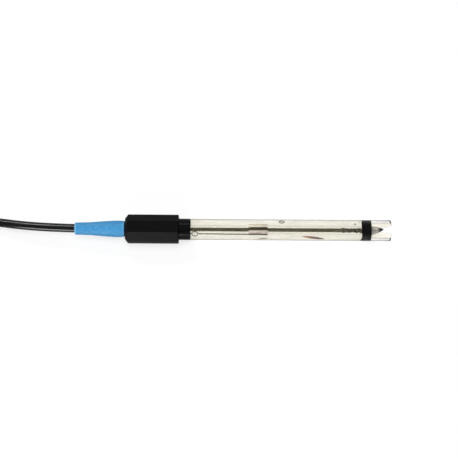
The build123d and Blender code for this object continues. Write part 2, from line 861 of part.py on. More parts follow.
# Tail: from the last turn of the hank up to the plug that lies on it
tail_route = [
    (hank_x - fold_reach, hank_side - fold_radius - strand_pitch, hank_height - cable_radius),
    (hank_x - fold_reach + 12.0, hank_side - 18.5, hank_height + 0.3),
    (hank_x + 1.0, plug_side, plug_height),
    (plug_front_x - neck_end, plug_side, plug_height),
]
with BuildPart() as cable_tail:
    with BuildLine() as tail_path:
        FilletPolyline(*tail_route, radius=bend_radii(tail_route))
    with BuildSketch(Plane(origin=tail_path.line @ 0, z_dir=tail_path.line % 0)):
        Circle(cable_radius)
    sweep(path=tail_path.line)

for title, route, path, tube in (("cable", cable_route, cable_path, cable),
                                 ("cable tail", tail_route, tail_path, cable_tail)):
    length = path.wires()[0].length
    fill = tube.part.volume / (pi * cable_radius ** 2 * length)
    print(title, "radii", [round(radius, 1) for radius in bend_radii(route)])
    print(title, "length", round(length, 1), "volume over section times length", round(fill, 4))

pieces = {
    "body_tube": body_tube,
    "glass_stem": glass_stem,
    "inner_wire": inner_wire,
    "inner_buffer": inner_buffer,
    "stem_stopper": stem_stopper,
    "tip_seal": tip_seal,
    "junction_pin": junction_pin,
    "reference_element": reference_element,
    "reference_wire": reference_wire,
    "gel_bung": gel_bung,
    "electrolyte_gel": electrolyte_gel,
    "cap": cap,
    "potting": potting,
    "strain_relief": strain_relief,
    "core_conductor": core_conductor,
    "core_dielectric": core_dielectric,
    "cable_braid": cable_braid,
    "core_splice": core_splice,
    "reference_splice": reference_splice,
    "cable": cable,
    "cable_hank": cable_hank,
    "hank_strap": hank_strap,
    "cable_tail": cable_tail,
    "plug_body": plug_body,
    "plug_insulator": plug_insulator,
    "plug_pin": plug_pin,
    "plug_gasket": plug_gasket,
    "plug_spring_washer": plug_spring_washer,
    "plug_ring": plug_ring,
    "plug_ferrule": plug_ferrule,
    "plug_boot": plug_boot,
}

os.makedirs("parts", exist_ok=True)
for name, piece in pieces.items():
    piece.part.label = name
    export_step(piece.part, "parts/" + name + ".step")
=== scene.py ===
"""Dresses a pH electrode: clear gel-filled body with a notched guard, black cap, blue boot, cable and plug.

The electrode lies along X with its sensing tip at +X, on the surface Z = 0. All lengths are metres.
"""

from math import cos, pi, radians, sin

import bmesh
import bpy
from bpy.props import FloatProperty, FloatVectorProperty, IntProperty, PointerProperty
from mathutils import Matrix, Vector


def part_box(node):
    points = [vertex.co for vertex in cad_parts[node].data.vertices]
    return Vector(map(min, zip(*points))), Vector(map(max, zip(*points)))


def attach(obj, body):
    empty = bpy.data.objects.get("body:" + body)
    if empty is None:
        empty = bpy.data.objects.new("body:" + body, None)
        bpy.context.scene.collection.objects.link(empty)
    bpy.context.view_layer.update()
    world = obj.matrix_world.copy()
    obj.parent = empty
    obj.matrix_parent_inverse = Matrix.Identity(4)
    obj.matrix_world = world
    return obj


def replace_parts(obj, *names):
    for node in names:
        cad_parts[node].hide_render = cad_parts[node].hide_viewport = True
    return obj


bl_info = {
    "name": "pH electrode",
    "version": (1, 0, 0),
    "blender": (4, 5, 0),
    "location": "View3D > Sidebar > pH electrode",
    "description": "Dresses the packed pH electrode with its clear parts, finishes, cable and stage",
    "category": "Object",
}

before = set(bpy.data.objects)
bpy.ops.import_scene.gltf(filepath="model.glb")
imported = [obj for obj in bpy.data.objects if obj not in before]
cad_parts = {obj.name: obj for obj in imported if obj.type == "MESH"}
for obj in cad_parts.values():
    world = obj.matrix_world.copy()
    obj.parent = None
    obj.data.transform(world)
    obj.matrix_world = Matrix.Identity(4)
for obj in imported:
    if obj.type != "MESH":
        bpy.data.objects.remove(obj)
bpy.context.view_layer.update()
MM = 0.001
BODY = "electrode"


def edge(node, side, axis):
    """One face of a CAD node's box: side 0 is the low one, 1 the high one."""
    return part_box(node)[side][axis]


def middle(node, axis):
    """Middle of a CAD node's box along one axis."""
    return (edge(node, 0, axis) + edge(node, 1, axis)) / 2


def half_width(node):
    """Half of a CAD node's extent across the electrode."""
    return (edge(node, 1, 1) - edge(node, 0, 1)) / 2


AXIS_Z = middle("body_tube", 2)
TUBE_RADIUS = half_width("body_tube")
BORE_RADIUS = half_width("electrolyte_gel")
TAIL_X = edge("body_tube", 0, 0)
RIM_X = edge("body_tube", 1, 0)
NOSE_X = edge("cap", 1, 0)
CAP_BACK_X = edge("cap", 0, 0)
BOOT_END_X = edge("strain_relief", 0, 0)
GEL_BACK_X = edge("electrolyte_gel", 0, 0)
SEAL_BACK_X = edge("tip_seal", 0, 0)
NECK_X = edge("tip_seal", 1, 0)
STEM_TOP_X = edge("glass_stem", 0, 0)
TIP_X = edge("glass_stem", 1, 0)
NECK_RADIUS = half_width("glass_stem")

PLASTIC_IOR = 1.58
GLASS_IOR = 1.50
GEL_IOR = 1.36
BUFFER_IOR = 1.34


def linear(hex_colour):
    """An sRGB hex colour such as "3E8FC4" as linear red, green, blue and 1."""
    parts = [int(hex_colour[i:i + 2], 16) / 255 for i in (0, 2, 4)]
    return tuple(c / 12.92 if c <= 0.04045 else ((c + 0.055) / 1.055) ** 2.4 for c in parts) + (1.0,)


def length(name, description, default):
    """A size that a user may change."""
    return FloatProperty(name=name, description=description, default=default, unit="LENGTH", precision=5)


def angular(name, description, degrees):
    """An angle that a user may change."""
    return FloatProperty(name=name, description=description, default=radians(degrees), subtype="ANGLE")


def colour(name, description, hex_colour):
    """A colour that a user may change."""
    return FloatVectorProperty(
        name=name, description=description, default=linear(hex_colour), size=4, subtype="COLOR", min=0, max=1
    )


class ClearParts(bpy.types.PropertyGroup):
    """Sizes and tints of the body tube, the gel and the glass."""

    tail_radius: length("Tail radius", "Radius of the stepped tail inside the cap", 5.45 * MM)
    guard_length: length("Guard", "From the seal's wetted edge to the rim", 11.3 * MM)
    rim_bevel: length("Rim bevel", "Length of the bevel inside the rim", 0.9 * MM)
    rim_bevel_depth: length("Rim bevel depth", "How far the bevel opens the bore", 0.25 * MM)
    rim_round: length("Rim round", "Round on the rim's outer edge", 0.3 * MM)
    notch_mouth: length("Notch mouth", "Width of a guard notch at the rim", 5.0 * MM)
    notch_floor: length("Notch floor", "Width of a guard notch at its floor", 2.7 * MM)
    notch_depth: length("Notch depth", "How far a notch runs back from the rim", 6.6 * MM)
    notch_radius: length("Notch corner", "Radius of the notch's two corners", 1.1 * MM)
    notch_turn: angular("Notch turn", "How far the notches stand round from straight up, towards -Y", 6.5)
    stem_radius: length("Stem radius", "Outer radius of the glass stem", 1.75 * MM)
    stem_wall: length("Stem wall", "Wall of the glass stem", 0.5 * MM)
    flare: length("Flare", "Length over which the stem widens to the membrane", 4.0 * MM)
    gel_tint: colour("Gel", "Pale straw colour of the gel electrolyte", "E6E2D6")
    glass_tint: colour("Membrane", "Smoky grey of the sensing glass", "B4B0AC")


class WireParts(bpy.types.PropertyGroup):
    """Sizes and colours of the silver wires and the chloride sleeve."""

    strand_radius: length("Strand radius", "Radius of each of the two wires of the rope", 0.46 * MM)
    rope_pitch: length("Rope pitch", "Length of one full twist", 2.8 * MM)
    crust_count: IntProperty(
        name="Crust", description="Dark grains on the end of the rope", default=220, min=0
    )
    rope_colour: colour("Rope", "Silver on the crests of the rope's strands", "6C6750")
    tarnish_colour: colour("Tarnish", "Olive brown chloride between the strands", "1B170A")
    wire_colour: colour("Wire", "The thinner reference wire", "26231A")
    sleeve_colour: colour("Sleeve", "Silver chloride where it is thin and pale", "DAD5C4")
    sleeve_shade: colour("Sleeve, thick side", "Mauve grey silver chloride on the wire's side", "BDB2AD")


class Mouldings(bpy.types.PropertyGroup):
    """Sizes of the strain relief and colours of the mouldings."""

    cap_colour: colour("Cap", "Black moulded cap", "0B0B0C")
    boot_colour: colour("Strain relief", "Sky blue strain relief", "4C9CD0")
    boot_mouth: length("Boot mouth", "Radius of the boot where the cable enters", 3.45 * MM)
    boot_waist: length("Boot waist", "Radius of the boot at a third of its length", 3.75 * MM)
    boot_swell: length("Boot swell", "Largest radius of the boot, near the cap", 4.73 * MM)
    boot_root: length("Boot root", "Radius of the boot at its rolled edge by the cap", 4.6 * MM)
    boot_gap: length("Boot gap", "Recess between the boot's edge and the cap", 0.6 * MM)
    seal_colour: colour("Seal", "Black cast seal", "030304")


class CordParts(bpy.types.PropertyGroup):
    """Sizes of the cable and its hank."""

    diameter: length("Cable diameter", "Outer diameter of the jacket", 5.0 * MM)
    fold_reach: length("Fold reach", "From the strap to the middle of a fold", 27.0 * MM)
    inner_fold: length("Inner fold", "Radius of an inner fold", 15.0 * MM)
    pitch: length("Pitch", "From one turn of the hank to the next", 5.2 * MM)
    strap_thickness: length("Strap", "Thickness of the strap", 0.9 * MM)
    jacket_colour: colour("Jacket", "Black cable jacket", "1A1A1C")


class StageSettings(bpy.types.PropertyGroup):
    """Floor, light and camera."""

    floor_size: length("Floor", "Side of the square floor", 6.0)
    floor_colour: colour("Floor colour", "Grey of the paper, on which its own glow lies", "9C9C9C")
    floor_glow: FloatProperty(
        name="Floor glow", description="Adds to the paper up to white", default=0.7, min=0
    )
    gloss_share: FloatProperty(
        name="Glow in gloss",
        description="Share of the glow that gloss shows, so that black plastic stays black",
        default=0.2, min=0, max=1,
    )
    view_width: length("View width", "Width of what the camera sees at the electrode", 262.9 * MM)
    elevation: angular("Elevation", "Camera above the horizon", 78.5)
    roll: angular("Roll", "Camera turned about its own axis", 0.4)


def add_node(tree, kind, settings=None, sockets=None):
    """Adds a node. Settings are its properties. Sockets are values, or sockets of other nodes to link."""
    node = tree.nodes.new(kind)
    for name, value in (settings or {}).items():
        setattr(node, name, value)
    for name, value in (sockets or {}).items():
        if isinstance(value, bpy.types.NodeSocket):
            tree.links.new(value, node.inputs[name])
        else:
            node.inputs[name].default_value = value
    return node


def result(tree, kind, sockets=None, settings=None, output=0):
    """Adds a node and returns one of its outputs."""
    return add_node(tree, kind, settings, sockets).outputs[output]


def new_material(name):
    """An empty material and its tree."""
    made = bpy.data.materials.new(name)
    made.use_nodes = True
    made.node_tree.nodes.clear()
    return made, made.node_tree


def show(tree, shader):
    """Sends a shader to the material's output."""
    add_node(tree, "ShaderNodeOutputMaterial", sockets={"Surface": shader})


def show_principled(tree, sockets):
    """Sends a Principled shader to the material's output."""
    show(tree, result(tree, "ShaderNodeBsdfPrincipled", sockets))


def show_clear(tree, shader):
    """Shows a shader that lamps shine through, so that what is behind clear plastic or glass is lit."""
    shadow = result(tree, "ShaderNodeLightPath", output="Is Shadow Ray")
    clear = result(tree, "ShaderNodeBsdfTransparent")
    show(tree, result(tree, "ShaderNodeMixShader", {0: shadow, 1: shader, 2: clear}))


def coordinates(tree):
    """Object coordinates as X, Y and Z."""
    place = result(tree, "ShaderNodeTexCoord", output="Object")
    return add_node(tree, "ShaderNodeSeparateXYZ", sockets={0: place}).outputs


def noise(tree, grain, detail=3.0, stretch=(1, 1, 1)):
    """Noise on Object coordinates whose blotches are about one grain across."""
    place = result(tree, "ShaderNodeTexCoord", output="Object")
    scaled = result(tree, "ShaderNodeMapping", {"Vector": place, "Scale": stretch})
    sockets = {"Vector": scaled, "Scale": 1 / grain, "Detail": detail}
    return result(tree, "ShaderNodeTexNoise", sockets, output="Fac")


def ranged(tree, value, low, high, to_low, to_high, kind="LINEAR"):
    """Maps a value from one range to another, clamped."""
    sockets = {"Value": value, "From Min": low, "From Max": high, "To Min": to_low, "To Max": to_high}
    return result(tree, "ShaderNodeMapRange", sockets, {"interpolation_type": kind}, "Result")


def mixed(tree, factor, first, second):
    """Mixes two colours."""
    return result(tree, "ShaderNodeMix", {0: factor, 6: first, 7: second}, {"data_type": "RGBA"}, 2)


def calc(tree, operation, first, second=0.0):
    """One sum of two values."""
    return result(tree, "ShaderNodeMath", {0: first, 1: second}, {"operation": operation})


def relief(tree, height, strength, depth):
    """Normal of a fine relief."""
    return result(tree, "ShaderNodeBump", {"Height": height, "Strength": strength, "Distance": depth})


def surface(name, base, fleck, grain, roughness, spread=0.06, bump=0.2, depth=0.01 * MM, extra=None):
    """A finish of two near colours in grains of a real size, with uneven gloss and a fine relief."""
    made, tree = new_material(name)
    blotch = noise(tree, grain * 6)
    fine = noise(tree, grain)
    show_principled(tree, {
        "Base Color": mixed(tree, ranged(tree, blotch, 0.3, 0.7, 0, 1), base, fleck),
        "Roughness": ranged(tree, fine, 0.3, 0.7, roughness - spread, roughness + spread),
        "Normal": relief(tree, fine, bump, depth),
        **(extra or {}),
    })
    return made


def facing_away(tree, start, full):
    """0 where a surface faces the eye, rising to 1 where it turns away."""
    facing = add_node(tree, "ShaderNodeLayerWeight", sockets={"Blend": 0.5}).outputs["Facing"]
    return ranged(tree, facing, start, full, 0, 1, "SMOOTHSTEP")


def clear_shader(tree, tint, ior, roughness=0.0, clearness=1.0):
    """Shows a transmitting shader."""
    show_clear(tree, result(tree, "ShaderNodeBsdfPrincipled", {
        "Base Color": tint,
        "Roughness": roughness,
        "IOR": ior,
        "Transmission Weight": clearness,
        "Specular IOR Level": 0.15,
    }))


def clear_surface(name, tint, painted_edge_shade, start, full, ior, roughness=0.0):
    """Clear wall with painted shade on its edges: its tint deepens where it turns away from the eye, standing
    in for the dark outline that refraction and reflection give.
    """
    made, tree = new_material(name)
    # Painted shade: the tint darkens towards the edges seen side-on.
    tone = mixed(tree, facing_away(tree, start, full), linear(tint), linear(painted_edge_shade))
    clear_shader(tree, tone, ior, roughness)
    return made


def clear_polycarbonate():
    """Polished moulded polycarbonate: water clear, with painted grey shade on its edges where the eye looks
    along the wall.
    """
    return clear_surface("clear_polycarbonate", "FEFEFD", "544F47", 0.5, 0.82, PLASTIC_IOR, 0.02)


def guard_bore_polycarbonate():
    """The guard's dry bore: the same polycarbonate, creamed by the salt that dries on it, with painted grey
    shade on its edges.
    """
    return clear_surface("guard_bore_polycarbonate", "F6F1E6", "8C8274", 0.35, 0.75, PLASTIC_IOR, 0.04)


def rim_polycarbonate():
    """Rim and notch faces of the guard, thin enough to stay clear."""
    return clear_surface("rim_polycarbonate", "FFFFFF", "DCDAD4", 0.6, 1.0, PLASTIC_IOR, 0.05)


def wetted_polycarbonate():
    """The bore's wall against gel: IOR is polycarbonate over gel, so it hardly shines."""
    return clear_surface("wetted_polycarbonate", "FFFFFF", "F0EEE8", 0.8, 1.0, PLASTIC_IOR / GEL_IOR)


def gel_electrolyte(tint):
    """Gelled salt solution: pale straw in faint long clouds. It meets its wall with no step in IOR."""
    made, tree = new_material("gel_electrolyte")
    cloud = ranged(tree, noise(tree, 1.6 * MM, stretch=(0.12, 1, 1)), 0.35, 0.65, 0, 1)
    clear_shader(tree, mixed(tree, cloud, tint, linear("F6F3EA")), 1.0)
    return made


def stem_glass():
    """Drawn laboratory glass in gel: IOR is glass over gel, so it hardly bends light; the faint grey lines on
    its edges are painted shade.
    """
    return clear_surface("stem_glass_in_gel", "FDFDFB", "5E5B50", 0.5, 0.8, GLASS_IOR / GEL_IOR)


def stem_glass_inside():
    """The stem's bore against buffer: IOR is glass over buffer, so it shows even less than the outside."""
    return clear_surface("stem_glass_on_buffer", "FFFFFF", "C8C5BA", 0.6, 0.95, GLASS_IOR / BUFFER_IOR)


def membrane_glass(tint):
    """Blown sensing glass in air: thin, smoky and half veiled, darkest at its drawn point."""
    made, tree = new_material("membrane_glass")
    along = coordinates(tree)[0]
    point = ranged(tree, along, TIP_X - 4.0 * MM, TIP_X - 2.2 * MM, 0, 1, "SMOOTHSTEP")
    streak = ranged(tree, noise(tree, 1.1 * MM, stretch=(0.6, 1, 1)), 0.42, 0.6, 0, 1)
    shade = mixed(tree, streak, tint, linear("908B87"))
    dark = mixed(tree, point, shade, linear("1E1C1B"))
    # Painted shade: the glass turns dark grey towards its edges seen side-on.
    rimmed = mixed(tree, facing_away(tree, 0.45, 0.9), dark, linear("403D3B"))
    clear_shader(tree, rimmed, GLASS_IOR, 0.08, 0.5)
    return made


def buffer_solution():
    """Clear buffer inside the glass, with no step in IOR of its own."""
    return clear_surface("buffer_solution", "FDFDFA", "F6F6F0", 0.8, 1.0, 1.0)


def gas_bubble():
    """Gas in gel: IOR is air over gel, so its rim turns dark and its middle stays clear, and painted shade
    darkens its rim further.
    """
    made, tree = new_material("gas_bubble")
    # Painted shade: the tint darkens towards the bubble's rim seen side-on.
    tone = mixed(tree, facing_away(tree, 0.12, 0.5), linear("FFFFFF"), linear("3A372A"))
    show_clear(tree, result(tree, "ShaderNodeBsdfGlass", {"Color": tone, "IOR": 1 / GEL_IOR}))
    return made


def brown_wall_film(start):
    """Thin film on the bore's wall: brown and milky, turning to dark grey towards +X."""
    made, tree = new_material("brown_wall_film")
    along = coordinates(tree)[0]
    brown = ranged(tree, along, start + 1 * MM, start + 6 * MM, 0, 1)
    grey = ranged(tree, along, start + 6 * MM, start + 10 * MM, 0, 1)
    tone = mixed(tree, grey, mixed(tree, brown, linear("BE9C86"), linear("5E4334")), linear("1C1A19"))
    speck = ranged(tree, noise(tree, 0.3 * MM), 0.3, 0.7, 0.6, 1.0)
    show_principled(tree, {"Base Color": mixed(tree, speck, linear("A98C7C"), tone), "Roughness": 0.6})
    return made


def chlorided_rope(silver, tarnish):
    """Twisted silver under olive brown chloride: the strands' crests are painted lighter as a highlight and
    the grooves between them darker as painted shade.
    """
    made, tree = new_material("chlorided_silver_rope")
    parts = coordinates(tree)
    height = calc(tree, "SUBTRACT", parts[2], AXIS_Z)
    off_axis = result(tree, "ShaderNodeCombineXYZ", {"Y": parts[1], "Z": height})
    reach = result(tree, "ShaderNodeVectorMath", {0: off_axis}, {"operation": "LENGTH"}, "Value")
    crest = ranged(tree, reach, 0.7 * MM, 0.9 * MM, 0, 1, "SMOOTHSTEP")
    patch = ranged(tree, noise(tree, 2.2 * MM, stretch=(0.5, 1, 1)), 0.36, 0.56, 0.35, 1)
    # Painted highlight and shade: lighter on the crests, darker in the grooves between the strands.
    worn = calc(tree, "MULTIPLY", crest, patch)
    grain = noise(tree, 0.15 * MM)
    show_principled(tree, {
        "Base Color": mixed(tree, worn, tarnish, silver),
        "Roughness": ranged(tree, grain, 0.3, 0.7, 0.4, 0.65),
        "Metallic": calc(tree, "MULTIPLY", worn, 0.6),
        "Normal": relief(tree, grain, 0.5, 0.03 * MM),
    })
    return made


def chloride_crust():
    """Grains of blackened silver chloride on the rope's end: dull and nearly black."""
    return surface("chloride_crust", linear("0E0C08"), linear("1E1A10"), 0.2 * MM, 0.8, 0.1, 0.6, 0.04 * MM)


def darkened_silver(base):
    """Reference wire: drawn silver under a thin dark film, so it keeps a soft metal gleam."""
    half = [c * 0.5 for c in base[:3]] + [1]
    return surface("darkened_silver_wire", base, half, 0.25 * MM, 0.45, 0.12, 0.4, 0.02 * MM,
                   {"Metallic": 0.3})


def silver_chloride(pale, thick):
    """Cast silver chloride: matt, pale towards +Y and mauve grey towards -Y, darker along its +Y edge, in
    long streaks.
    """
    made, tree = new_material("silver_chloride")
    across = coordinates(tree)[1]
    side = ranged(tree, across, 0.4 * MM, -0.4 * MM, 0, 1)
    streak = ranged(tree, noise(tree, 0.45 * MM, stretch=(0.08, 1, 1)), 0.42, 0.6, 0, 0.7)
    rim = ranged(tree, across, 1.7 * MM, 2.2 * MM, 0, 0.75)
    tone = mixed(tree, calc(tree, "MAXIMUM", streak, rim), mixed(tree, side, pale, thick), linear("746B62"))
    grain = noise(tree, 0.12 * MM)
    show_principled(tree, {
        "Base Color": tone,
        "Roughness": ranged(tree, grain, 0.3, 0.7, 0.6, 0.8),
        "Normal": relief(tree, grain, 0.6, 0.03 * MM),
    })
    return made


def cast_sealant(base):
    """Poured black silicone: satin and deep black, with a skin that is a little uneven."""
    return surface("cast_sealant", base, linear("080809"), 0.5 * MM, 0.45, 0.08, 0.3, 0.03 * MM,
                   {"Specular IOR Level": 0.02})


def moulded_cap_plastic(base):
    """Injection-moulded black plastic: satin grip with draw lines along the mould, and a polished nose."""
    made, tree = new_material("moulded_black_plastic")
    along = coordinates(tree)[0]
    nose = ranged(tree, along, NOSE_X - 7.2 * MM, NOSE_X - 6.8 * MM, 0, 1)
    grain = noise(tree, 0.25 * MM)
    drawn = noise(tree, 0.5 * MM, stretch=(0.04, 1, 1))
    scuff = ranged(tree, noise(tree, 1.2 * MM, detail=6.0), 0.5, 0.75, 0, 1)
    worn = calc(tree, "MULTIPLY", scuff, ranged(tree, drawn, 0.45, 0.7, 0, 1))
    satin = ranged(tree, drawn, 0.3, 0.7, 0.44, 0.58)
    gloss = calc(tree, "SUBTRACT", satin, calc(tree, "MULTIPLY", nose, 0.22))
    height = calc(tree, "ADD", calc(tree, "MULTIPLY", grain, 0.5), drawn)
    show_principled(tree, {
        "Base Color": mixed(tree, worn, base, linear("19191B")),
        "Roughness": gloss,
        "Normal": relief(tree, height, 0.35, 0.03 * MM),
        "Specular IOR Level": 0.12,
    })
    return made


def moulded_soft_pvc(base):
    """Moulded flexible PVC: sky blue in soft clouds, satin, paler along its rims, with painted shade in the
    groove by the cap.
    """
    made, tree = new_material("moulded_blue_pvc")
    along = coordinates(tree)[0]
    mouth = ranged(tree, along, BOOT_END_X + 0.5 * MM, BOOT_END_X + 1.1 * MM, 0.8, 0, "SMOOTHSTEP")
    root = ranged(tree, along, CAP_BACK_X - 1.5 * MM, CAP_BACK_X - 1.0 * MM, 0, 0.35, "SMOOTHSTEP")
    # Painted shade: the boot turns dark navy where it runs into its groove by the cap, where shade falls.
    gap_shade = ranged(tree, along, CAP_BACK_X - 0.65 * MM, CAP_BACK_X - 0.55 * MM, 0, 1)
    cloud = ranged(tree, noise(tree, 1.5 * MM, detail=4.0, stretch=(0.7, 1, 1)), 0.36, 0.64, 0, 1)
    tone = mixed(tree, cloud, base, linear("3F90CA"))
    fleck = ranged(tree, noise(tree, 0.7 * MM, detail=5.0), 0.55, 0.7, 0, 0.45)
    light = mixed(tree, fleck, tone, linear("7CC2EA"))
    rimmed = mixed(tree, calc(tree, "MAXIMUM", mouth, root), light, linear("86C6EC"))
    grain = noise(tree, 0.3 * MM)
    show_principled(tree, {
        "Base Color": mixed(tree, gap_shade, rimmed, linear("1C3553")),
        "Roughness": ranged(tree, grain, 0.3, 0.7, 0.4, 0.55),
        "Normal": relief(tree, grain, 0.35, 0.04 * MM),
        "Specular IOR Level": 0.22,
    })
    return made


def cable_jacket(base):
    """Extruded PVC jacket: black, smoother than a moulding, so it holds a narrow highlight."""
    return surface("cable_jacket", base, linear("141416"), 0.6 * MM, 0.18, 0.04, 0.12, 0.02 * MM)


def woven_strap(yarn=0.6 * MM):
    """Woven nylon tie: black and dry, with yarns over and under each other."""
    made, tree = new_material("woven_nylon_strap")
    parts = coordinates(tree)
    around = calc(tree, "ADD", parts[1], parts[2])
    waves = [calc(tree, "SINE", calc(tree, "MULTIPLY", way, 2 * pi / yarn)) for way in (parts[0], around)]
    weave = ranged(tree, calc(tree, "MULTIPLY", *waves), -1, 1, 0, 1)
    show_principled(tree, {
        "Base Color": mixed(tree, weave, linear("101012"), linear("2C2C30")),
        "Roughness": ranged(tree, weave, 0, 1, 0.85, 0.6),
        "Normal": relief(tree, weave, 0.8, 0.1 * MM),
        "Sheen Weight": 0.3,
    })
    return made


def nickel_plate():
    """Nickel on turned brass: warm grey mirror with fine turning marks round the plug."""
    return surface("nickel_plate", linear("C9C4BA"), linear("BDB8AE"), 0.3 * MM, 0.22, 0.07, 0.15, 0.01 * MM,
                   {"Metallic": 1.0})


def fine_metal(name, base, fleck, roughness):
    """A drawn or plated metal with fine scuffs."""
    return surface(name, linear(base), linear(fleck), 0.2 * MM, roughness, 0.08, 0.25, 0.01 * MM,
                   {"Metallic": 1.0})


def plain_moulding(name, base, fleck, roughness):
    """A moulded or cast plastic or rubber with a fine grain."""
    return surface(name, linear(base), linear(fleck), 0.3 * MM, roughness, 0.08, 0.3, 0.02 * MM)


def dress(material, *nodes):
    """Gives CAD nodes their finish."""
    for node in nodes:
        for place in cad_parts[node].material_slots:
            place.material = material


def link(name, mesh, body):
    """Puts a finished mesh or curve in the scene and lets it ride on its body."""
    made = bpy.data.objects.new(name, mesh)
    bpy.context.scene.collection.objects.link(made)
    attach(made, body)
    return made


def shade_smooth(mesh, angle=radians(35)):
    """Smooth shading with edges sharper than the angle left crisp."""
    for face in mesh.polygons:
        face.use_smooth = True
    mesh.set_sharp_from_angle(angle=angle)


def finished_mesh(name, grid, materials):
    """Turns a bmesh into a mesh with its materials."""
    mesh = bpy.data.meshes.new(name)
    grid.to_mesh(mesh)
    grid.free()
    for made in materials:
        mesh.materials.append(made)
    shade_smooth(mesh)
    return mesh


def turned(outline, slots=None, steps=160, warp=None):
    """Closed bmesh turned about the electrode's axis from a closed outline of (x, radius).

    slots gives the material of the band after each point. warp gives a point's x, radius and shift along Y
    from its x, radius and angle.
    """
    grid = bmesh.new()
    rings = []
    for x, radius in outline:
        ring = []
        for step in range(1 if radius < 1e-7 else steps):
            angle = 2 * pi * step / steps
            px, pr, shift = warp(x, radius, angle) if warp else (x, radius, 0)
            ring.append(grid.verts.new((px, shift + pr * cos(angle), AXIS_Z + pr * sin(angle))))
        rings.append(ring)
    for i, ring in enumerate(rings):
        after = rings[(i + 1) % len(rings)]
        if len(ring) == 1 and len(after) == 1:
            continue
        for step in range(steps):
            corners = [ring[step % len(ring)], ring[(step + 1) % len(ring)],
                       after[(step + 1) % len(after)], after[step % len(after)]]
            face = grid.faces.new(list(dict.fromkeys(corners)))
            face.material_index = slots[i] if slots else 0
    bmesh.ops.recalc_face_normals(grid, faces=grid.faces)
    return grid


def rounded_corner(before, corner, after, radius, steps=6):
    """Points of a round between two straight edges in a plane."""
    corner = Vector(corner)
    to_before = (Vector(before) - corner).normalized()
    to_after = (Vector(after) - corner).normalized()
    half = to_before.angle(to_after) / 2
    centre = corner + (to_before + to_after).normalized() * radius / sin(half)
    reach = radius * cos(half) / sin(half)
    start = (corner + to_before * reach - centre).normalized()
    end = (corner + to_after * reach - centre).normalized()
    return [centre + start.slerp(end, i / steps) * radius for i in range(steps + 1)]


def evaluated_copy(obj, name):
    """A plain mesh of an object as its modifiers leave it. The object is removed."""
    mesh = bpy.data.meshes.new_from_object(obj.evaluated_get(bpy.context.evaluated_depsgraph_get()))
    mesh.name = name
    bpy.data.objects.remove(obj)
    return mesh


def scratch_object(name, mesh):
    """An object that only lives until its modifiers are read."""
    made = bpy.data.objects.new(name, mesh)
    bpy.context.scene.collection.objects.link(made)
    return made


def notch_cutter(sizes):
    """Prism through both walls of the guard, in the outline of its notches."""
    past_rim = RIM_X + 1 * MM
    past_tube = TUBE_RADIUS * 1.4
    floor = RIM_X - sizes.notch_depth
    mouth, narrow = sizes.notch_mouth / 2, sizes.notch_floor / 2
    corners = [(past_rim, mouth), (floor, narrow), (floor, -narrow), (past_rim, -mouth)]
    outline = [Vector(corners[0])]
    for k in (1, 2):
        outline += rounded_corner(corners[k - 1], corners[k], corners[k + 1], sizes.notch_radius)
    outline.append(Vector(corners[3]))
    up = Vector((0, -sin(sizes.notch_turn), cos(sizes.notch_turn)))
    side = up.cross(Vector((1, 0, 0)))
    axis = Vector((0, 0, AXIS_Z))
    grid = bmesh.new()
    ends = []
    for reach in (-past_tube, past_tube):
        places = [axis + Vector((point.x, 0, 0)) + side * point.y + up * reach for point in outline]
        ends.append([grid.verts.new(place) for place in places])
        grid.faces.new(ends[-1])
    for i in range(len(outline)):
        after = (i + 1) % len(outline)
        grid.faces.new([ends[0][i], ends[0][after], ends[1][after], ends[1][i]])
    bmesh.ops.recalc_face_normals(grid, faces=grid.faces)
    mesh = bpy.data.meshes.new("notch_cutter")
    grid.to_mesh(mesh)
    grid.free()
    return mesh


class MakeBodyTube(bpy.types.Operator):
    """Clear body tube with its bulb guard, bevelled rim and two notches"""

    bl_idname = "ph_electrode.body_tube"
    bl_label = "Body tube"

    def execute(self, context):
        sizes = context.scene.ph_clear
        round_steps = [radians(18 * k) for k in range(6)]
        corner_x, corner_r = RIM_X - sizes.rim_round, TUBE_RADIUS - sizes.rim_round
        bevel_r = BORE_RADIUS + sizes.rim_bevel_depth
        break_edge = 0.1 * MM
        outline = [(TAIL_X, BORE_RADIUS), (TAIL_X, sizes.tail_radius), (NOSE_X, sizes.tail_radius),
                   (NOSE_X, TUBE_RADIUS)]
        slots = [0, 1, 0, 1]
        outline += [
            (corner_x + sizes.rim_round * sin(a), corner_r + sizes.rim_round * cos(a)) for a in round_steps
        ]
        outline += [(RIM_X, bevel_r + break_edge), (RIM_X - break_edge, bevel_r),
                    (RIM_X - sizes.rim_bevel, BORE_RADIUS), (RIM_X - sizes.guard_length, BORE_RADIUS)]
        slots += [0] * (len(outline) - len(slots) - 2) + [3, 2]
        materials = [rim_polycarbonate(), clear_polycarbonate(), wetted_polycarbonate(),
                     guard_bore_polycarbonate()]
        shell = scratch_object("shell", finished_mesh("shell", turned(outline, slots, 192), materials))
        cutter = scratch_object("cutter", notch_cutter(sizes))
        cut = shell.modifiers.new("notches", "BOOLEAN")
        cut.object = cutter
        cut.solver = "EXACT"
        mesh = evaluated_copy(shell, "body_tube_clear")
        bpy.data.objects.remove(cutter)
        shade_smooth(mesh, radians(30))
        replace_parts(link("body_tube_clear", mesh, BODY), "body_tube")
        return {"FINISHED"}


